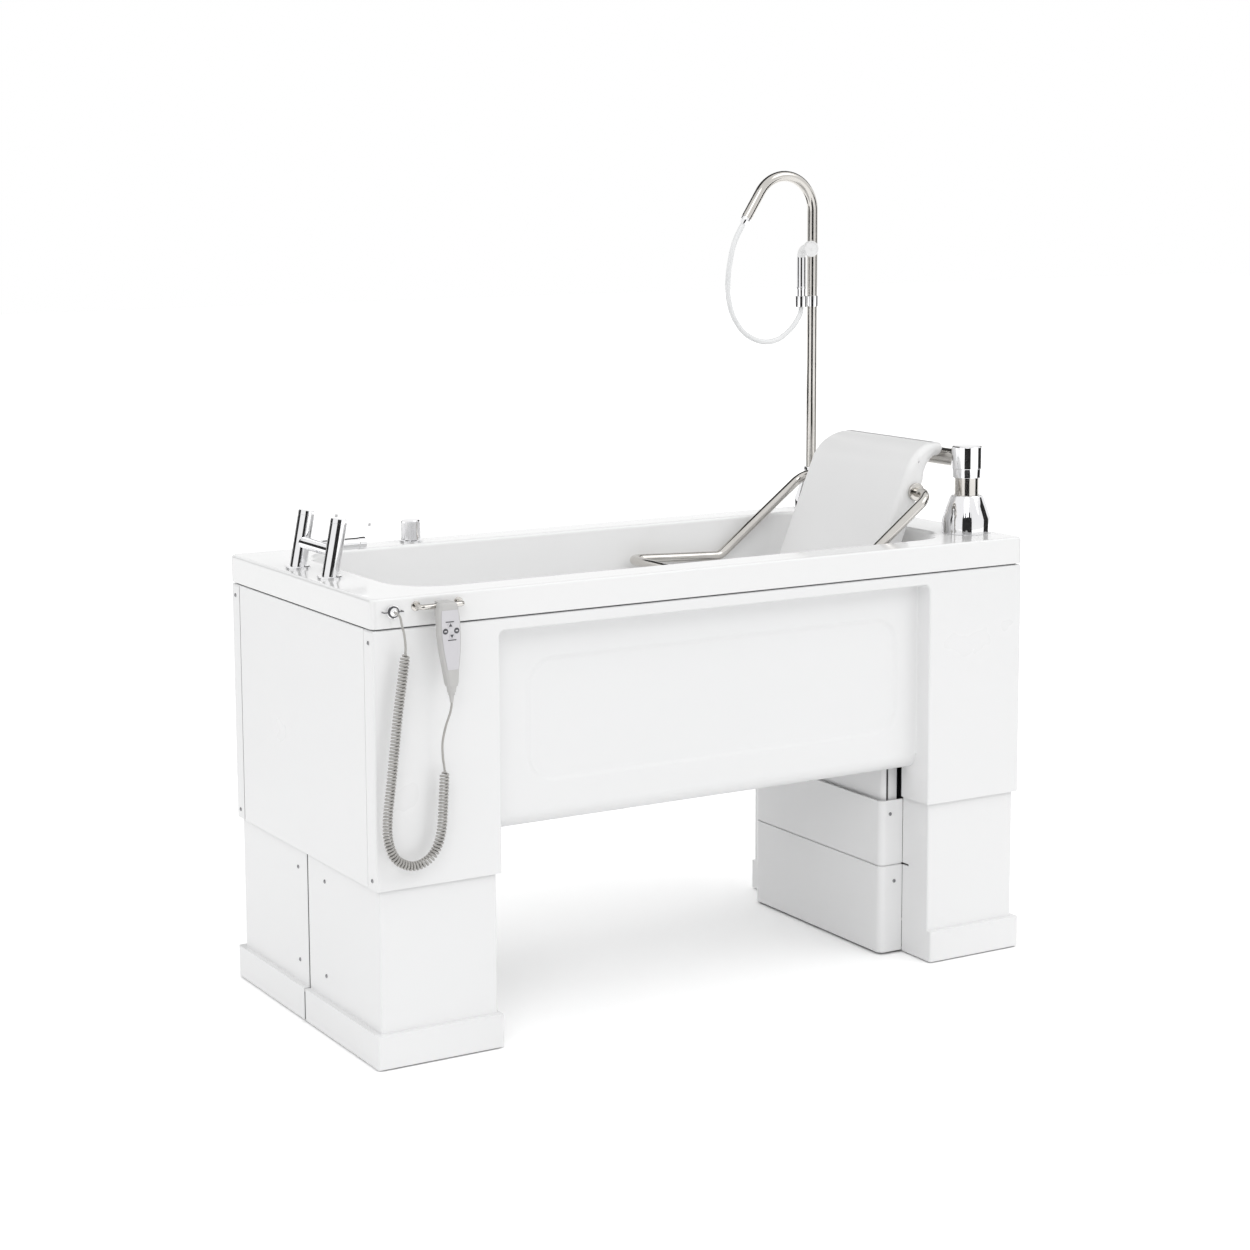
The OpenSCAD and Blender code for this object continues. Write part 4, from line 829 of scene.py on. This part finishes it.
# %% Side moulding: corners, rolled foot and flanges
pick(side, "EDGE", lambda m, d: abs(d.y) > 0.9 and near(m.z, recess_top))
round_edges(0.014, 5)
pick(side, "EDGE", lambda m, d: near(m.z, apron_foot) and near(m.y, apron_y)
     and abs(d.x) > 0.9)
bpy.ops.mesh.spin(steps=8, angle=-math.pi / 2, center=at(0, -308, 530), axis=(1, 0, 0))
for where, flange in (
        (lambda m, d: near(m.y, apron_y) and m.z < 0.52 and abs(d.z) > 0.9, 0.058),
        (lambda m, d: near(m.y, face_y) and (near(abs(m.x), side_long / 2)
                                             or near(m.z, top_line)), 0.045)):
    print("edges drawn back:", pick(side, "EDGE", where))
    extrude((0, flange, 0))
bpy.ops.object.mode_set(mode="OBJECT")
take(side)
bevelled(side, 0.005, 4, 50)

# %% Side moulding: pressed field
field_mid, field_long, field_high, field_corner = (31, -348, 736), 1050, 300, 70
field_x, field_z = field_mid[0] / 1000, field_mid[2] / 1000
hole_a, hole_b = 0.54, 0.165            # half the hole that is cut for the field
for place, direction in ((field_x - hole_a, across), (field_x + hole_a, across),
                         (field_z - hole_b, upward), (field_z + hole_b, upward)):
    pick(side, "FACE", lambda m, n: near(m.y, apron_y) and abs(n.y) > 0.99)
    cut(place, direction)
print("middle of the apron:", pick(side, "FACE", lambda m, n: near(m.y, apron_y)
      and abs(m.x - field_x) < 0.01 and abs(m.z - field_z) < 0.01), "face")
bpy.ops.mesh.delete(type="FACE")
edge = outline("field_edge", field_mid, field_long, field_high, field_corner, 12, upright)
edit_all()
bpy.ops.mesh.edge_face_add()
for deep in (0.0004, 0.0018, 0.0018, 0.0008, 0.0002):
    bpy.ops.mesh.inset(thickness=0.004, depth=0)
    bpy.ops.transform.translate(value=(0, deep, 0))
bpy.ops.object.mode_set(mode="OBJECT")
take(side)
edge.select_set(True)
bpy.ops.object.join()


def round_the_field(m, d):
    """The edge of the hole in the apron and the outer edge of the field."""
    x, z = m.x - field_x, m.z - field_z
    on_hole = near(abs(x), hole_a) and abs(z) < 0.1 or near(abs(z), hole_b) and abs(x) < 0.5
    off_field = off_outline(x, z, field_long / 2000, field_high / 2000, field_corner / 1000)
    return near(m.y, apron_y, 0.0001) and (on_hole or abs(off_field) < 0.001)


print("round the field:", pick(side, "EDGE", round_the_field), "edges")
bpy.ops.mesh.fill(use_beauty=True)
turn_outward()

# %% Side moulding: walls, far copy
side_wall = 0.004


def walled(piece, wall):
    """Gives a shell its wall, behind its front, and eases the cut edges."""
    take(piece)
    solid = piece.modifiers.new("wall", "SOLIDIFY")
    solid.thickness = wall
    solid.offset = -1
    solid.use_even_offset = True
    bpy.ops.object.modifier_apply(modifier=solid.name)
    bevelled(piece, 0.001, 2, 60)
    weighted(piece)


far_side = new_object("far_side_moulding", side.data.copy())
take(far_side)
edit_all()
bpy.ops.transform.resize(value=(1, -1, 1), center_override=(0, mid_y, 0))
bpy.ops.object.mode_set(mode="OBJECT")
for piece, node, way in ((side, "near_moulding", -1), (far_side, "far_moulding", 1)):
    face_out(piece, Vector((0, way, 0)))
    walled(piece, side_wall)
    finished(piece, "bath", "cover_white", cover_white, node)

# %% Softened covers and panels
for node in ("tap_cover_near", "tap_cover_far", "seat_cover_near", "seat_cover_far"):
    softened(node, 2.5, 3)
for node in ("step_lower", "step_upper", "tap_slide_panel", "seat_slide_panel",
             "tap_end_panel", "seat_end_panel", "tap_inner_wall"):
    softened(node, 2)

# %% [markdown]
# ## The seat
# The backrest is a thick moulded board that rolls over at the top. Its foot is a
# plane, drawn up along the recline and then spun round the middle of the roll. It
# gets thinner and narrower toward the end of the roll, and all its edges are well
# rounded.

# %% Backrest
recline, roll_turn, thin_turn = math.radians(23), math.radians(78), math.radians(67)
climb = Vector((math.sin(recline), 0, math.cos(recline)))
behind = Vector((math.cos(recline), 0, -math.sin(recline)))
roll_middle, roll_radius = Vector((781, 0, 1176)), 110
roll_mid, inner_limit = at(*roll_middle), 0.09
board_thick, board_wide, board_long = 0.062, 0.424, 0.432
thinned, narrowed = 0.42, 0.11          # shares lost at the end of the roll
foot_mid = (roll_mid - roll_radius / 1000 * behind - board_long * climb
            + board_thick / 2 * behind)
backrest = plane("backrest_board", foot_mid, board_thick, board_wide, (0, recline, 0))
edit_all()
extrude(climb * board_long)
bpy.ops.mesh.spin(steps=16, angle=-roll_turn, center=roll_mid, axis=(0, 1, 0))
bpy.ops.mesh.select_all(action="SELECT")
bpy.ops.mesh.remove_doubles(threshold=0.0001)
bpy.ops.mesh.select_all(action="DESELECT")
bpy.ops.mesh.select_interior_faces()
bpy.ops.mesh.delete(type="FACE")
turn_outward()
for point in backrest.data.vertices:
    out = point.co - roll_mid
    out.y = 0
    angle = math.atan2(out.dot(climb), -out.dot(behind))
    if angle > 0.01 and out.length < inner_limit:
        point.co += out.normalized() * board_thick * thinned * min(angle / thin_turn, 1)
    if angle > 0:
        point.co.y = mid_y + (point.co.y - mid_y) * (1 - narrowed * (angle / roll_turn) ** 2)
pick(backrest, "FACE", lambda m, n: abs(n.y) > 0.99)
bpy.ops.mesh.dissolve_faces()
last = max(p.co.x for p in backrest.data.vertices)
pick(backrest, "EDGE", lambda m, d: abs(m.y - mid_y) > 0.15 or abs(d.y) > 0.9 and (
    (m - foot_mid).dot(climb) < 0.001 or m.x > last - 0.012))
round_edges(0.0165, 7)
bpy.ops.object.mode_set(mode="OBJECT")
weighted(backrest, 50)
finished(backrest, "seat", "seat_white", seat_white, "backrest")

# %% [markdown]
# The pan is a shallow tray with round corners: an outline filled, given its
# thickness, and dished a few millimetres inside a border.

# %% Seat pan
pan_low, pan_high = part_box("seat_pan")
pan_x, pan_long = (pan_low.x + pan_high.x) / 2, pan_high.x - pan_low.x
pan_wide, pan_thick, pan_corner = pan_high.y - pan_low.y, 0.04, 0.06
pan = plane("seat_pan_tray", (pan_x, mid_y, pan_low.z), pan_long, pan_wide)
edit_all()
bpy.ops.mesh.bevel(offset=pan_corner, segments=8, affect="VERTICES")
bpy.ops.mesh.select_all(action="SELECT")
extrude((0, 0, pan_thick))
for wide, deep in ((0.010, 0), (0.012, -0.002), (0.014, -0.003), (0.014, -0.001)):
    bpy.ops.mesh.inset(thickness=wide, depth=deep)
turn_outward()
pick(pan, "EDGE", lambda m, d: abs(d.z) < 0.1 and abs(off_outline(
    m.x - pan_x, m.y - mid_y, pan_long / 2, pan_wide / 2, pan_corner)) < 0.001)
round_edges(0.008, 4)
bpy.ops.object.mode_set(mode="OBJECT")
weighted(pan)
finished(pan, "seat", "seat_white", seat_white, "seat_pan")

# %% [markdown]
# ## Bent tubes
# The safety bar, the seat's frame, its arm and the hook bar are bent from round
# tube. A path through the corners gets an arc at each bend.

# %% Bent path


def bend_line(corners, radius, steps=12):
    """Points along straight runs joined by arcs of one radius, in millimetres."""
    corners = [Vector(c) for c in corners]
    line = [corners[0]]
    for a, p, b in zip(corners, corners[1:], corners[2:]):
        u, v = (p - a).normalized(), (b - p).normalized()
        angle = u.angle(v)
        inward = u.cross(v).normalized().cross(u)
        start = p - u * radius * math.tan(angle / 2)
        for k in range(steps + 1):
            q = angle * k / steps
            line.append(start + radius * (inward * (1 - math.cos(q)) + u * math.sin(q)))
    line.append(corners[-1])
    return [at(*p) for p in line]


def joined(name, *parts):
    """One piece made of several."""
    take(parts[0])
    for part in parts[1:]:
        part.select_set(True)
    bpy.ops.object.join()
    parts[0].name = name
    return parts[0]


def ring_on(name, place, axis, radius, height, edge=0.0008):
    """A short round disc whose rim is bevelled. It stands on place along axis."""
    clear()
    axis = Vector(axis)
    turn = axis.to_track_quat("Z", "Y").to_euler()
    bpy.ops.mesh.primitive_cylinder_add(vertices=48, radius=radius, depth=height,
                                        location=place + axis * height / 2, rotation=turn)
    piece = bpy.context.active_object
    piece.name = name
    bpy.ops.object.transform_apply(location=True, rotation=True, scale=True)
    pick(piece, "FACE", lambda m, n: abs(n.dot(axis)) > 0.99)
    round_edges(edge, 3)
    bpy.ops.object.mode_set(mode="OBJECT")
    return smooth(piece)


# %% Safety bar
pivot, root = Vector((704, 0, 1167)), 221.3
half_bar = [(0, root, 0), (0, 275, 0), (-271, 275, -203), (-551, 275, -190)]
corners = [pivot + Vector((x, -y, z)) for x, y, z in half_bar]
corners += [pivot + Vector(c) for c in reversed(half_bar)]
bar_tube = tube("bar_tube", bend_line(corners, 40), 0.0125, 32)
pins = [ring_on("pin", at(pivot.x, s * (root - 6), pivot.z), (0, s, 0), 0.010, 0.012)
        for s in (-1, 1)]
bar = joined("safety_bar_tube", bar_tube, *pins)
finished(bar, "safety_bar", "stainless", steel, "safety_bar")

# %% Seat frame
pan_top, frame_r = 790, 14
frame_z, frame_end = pan_top - 1000 * pan_thick - frame_r, 144.9
spine_y, cross_y, in_board, spine_end, rungs = 110, 212, 62.3, 20, (110, 300)
spine = roll_middle + (in_board - roll_radius) * behind
top = spine - spine_end * climb
low = top - climb * ((top.z - frame_z) / math.cos(recline))
parts = []
for y in (-spine_y, spine_y):
    corners = [(top.x, y, top.z), (low.x, y, frame_z), (frame_end, y, frame_z)]
    parts.append(tube("spine", bend_line(corners, 30), frame_r / 1000, 24))
for down in rungs:
    p = spine - down * climb
    parts.append(tube("rung", [at(p.x, -spine_y, p.z), at(p.x, spine_y, p.z)], 0.009, 20))
ends = [at(pivot.x, s * cross_y, pivot.z) for s in (-1, 1)]
parts.append(tube("cross_tube", ends, 0.013, 24))
for end, s in zip(ends, (-1, 1)):
    parts.append(ring_on("socket", end, (0, s, 0), 0.0225, 0.009, 0.0015))
seat_frame = joined("seat_frame_tubes", *parts)
finished(seat_frame, "seat", "stainless", steel, "seat_frame")

# %% Seat arm
arm_line = bend_line([(831, -224, 1245), (831, -60, 1245), (737.3, -60, 1245)], 34, 14)
arm = tube("seat_arm_tube", arm_line, 0.0225, 36)
finished(arm, "seat", "stainless", steel, "seat_arm")

# %% Hook bar on the rim
hook_x0, hook_x1, rim_face, hook_y, hook_z = -794, -690, -400, -426, 1038
hook_line = bend_line([(hook_x0, rim_face, hook_z), (hook_x0, hook_y, hook_z),
                       (hook_x1, hook_y, hook_z), (hook_x1, rim_face, hook_z)], 9)
hook_parts = [tube("hook_tube", hook_line, 0.006, 20)]
for x in (hook_x0, hook_x1):
    hook_parts.append(ring_on("rosette", at(x, rim_face, hook_z), (0, -1, 0), 0.011, 0.0025))
hook_bar = joined("hook_bar_tube", *hook_parts)
finished(hook_bar, "bath", "stainless", steel, "hook_rail")

# %% [markdown]
# Dark rubber cords seal the joints of the end panels from behind. They are what
# makes these joints read as thin dark lines. The cords behind the slots of the covers
# are painted shade: black put where a slot is dark only from the shade in its gap.

# %% Rubber seals and painted slot shade
joint_r, slot_shade_r = 0.0016, 0.0033
for name, body, x, y, radius, low_z, high_z in (
        ("seal_near", "bath", -895.5, -352, joint_r, 410, 986),
        ("seal_far", "bath", -895.5, 352, joint_r, 410, 986),
        ("seal_seat_near", "bath", 895.5, -352, joint_r, 410, 986),
        ("seal_seat_far", "bath", 895.5, 352, joint_r, 410, 986),
        # the four slot cords below are painted shade: black cords that darken the gaps of the
        # slots
        ("slot_shade_cord_tap", "base", -885, 0, slot_shade_r, 78, 516),
        ("slot_shade_cord_tap_plinth", "base", -899, 0, slot_shade_r, 7, 72),
        ("slot_shade_cord_seat", "base", 885, 0, slot_shade_r, 78, 516),
        ("slot_shade_cord_seat_plinth", "base", 899, 0, slot_shade_r, 7, 72)):
    dark_cord = tube(name, [at(x, y, low_z), at(x, y, high_z)], radius, 12)
    finished(dark_cord, body, "foot_rubber", rubber)

# %% [markdown]
# The keypad's marks are thin raised shapes: triangles on the upper and the lower
# key, small bars on the left and the right key, and two bars on the foil above and
# below the keys.

# %% Marks on the keypad
mark_thick = 0.0005


def mark(name, place, wide, high, body, finish, corners=4, turn=0.0):
    """A thin raised mark with eased edges on a face that looks toward -Y."""
    clear()
    bpy.ops.mesh.primitive_circle_add(vertices=corners, radius=0.5, fill_type="NGON",
                                      location=place, rotation=(math.pi / 2, turn, 0))
    piece = bpy.context.active_object
    piece.name = name
    bpy.ops.object.transform_apply(location=False, rotation=True, scale=True)
    size = piece.dimensions
    piece.scale = (wide / size.x, 1, high / size.z)
    bpy.ops.object.transform_apply(location=True, rotation=False, scale=True)
    edit_all()
    extrude((0, -mark_thick, 0))
    round_edges(mark_thick * 0.4, 2)
    turn_outward()
    finished(smooth(piece), body, "keypad" if finish == foil else "key_grey", finish)


quarter = math.pi / 4
key_face, foil_face = -459.8, -459.1
for name, x, z, turn in (("up", -739.6, 998.5, 0.0), ("down", -736.4, 975.5, math.pi)):
    frame["nodes"]["key_" + name].data.materials[0] = foil
    mark("mark_" + name, at(x, key_face, z), 0.0085, 0.0075, "key_" + name, key_dark, 3, turn)
for name, x in (("left", -751.7), ("right", -724.4)):
    mark("mark_" + name, at(x, key_face, 986), 0.006, 0.003, "key_" + name, foil, 4, quarter)
for name, x, z in (("upper", -741, 1006.5), ("lower", -735.7, 965.9)):
    mark("bar_" + name, at(x, foil_face, z), 0.02, 0.0022, "hand_control", key_dark, 4, quarter)

# %% Chrome fittings and the hand control's housing
for node in ("mixer_body", "hot_lever", "cold_lever", "knob_flange", "waste_fitting",
             "waste_plug", "overflow_cover", "pole_base", "shower_outlet", "handset_holder",
             "handset_handle", "cord_outlet", "column_base", "column_head"):
    softened(node, 1)
softened("waste_knob", 0.4, 1)
softened("hand_housing", 1.2)
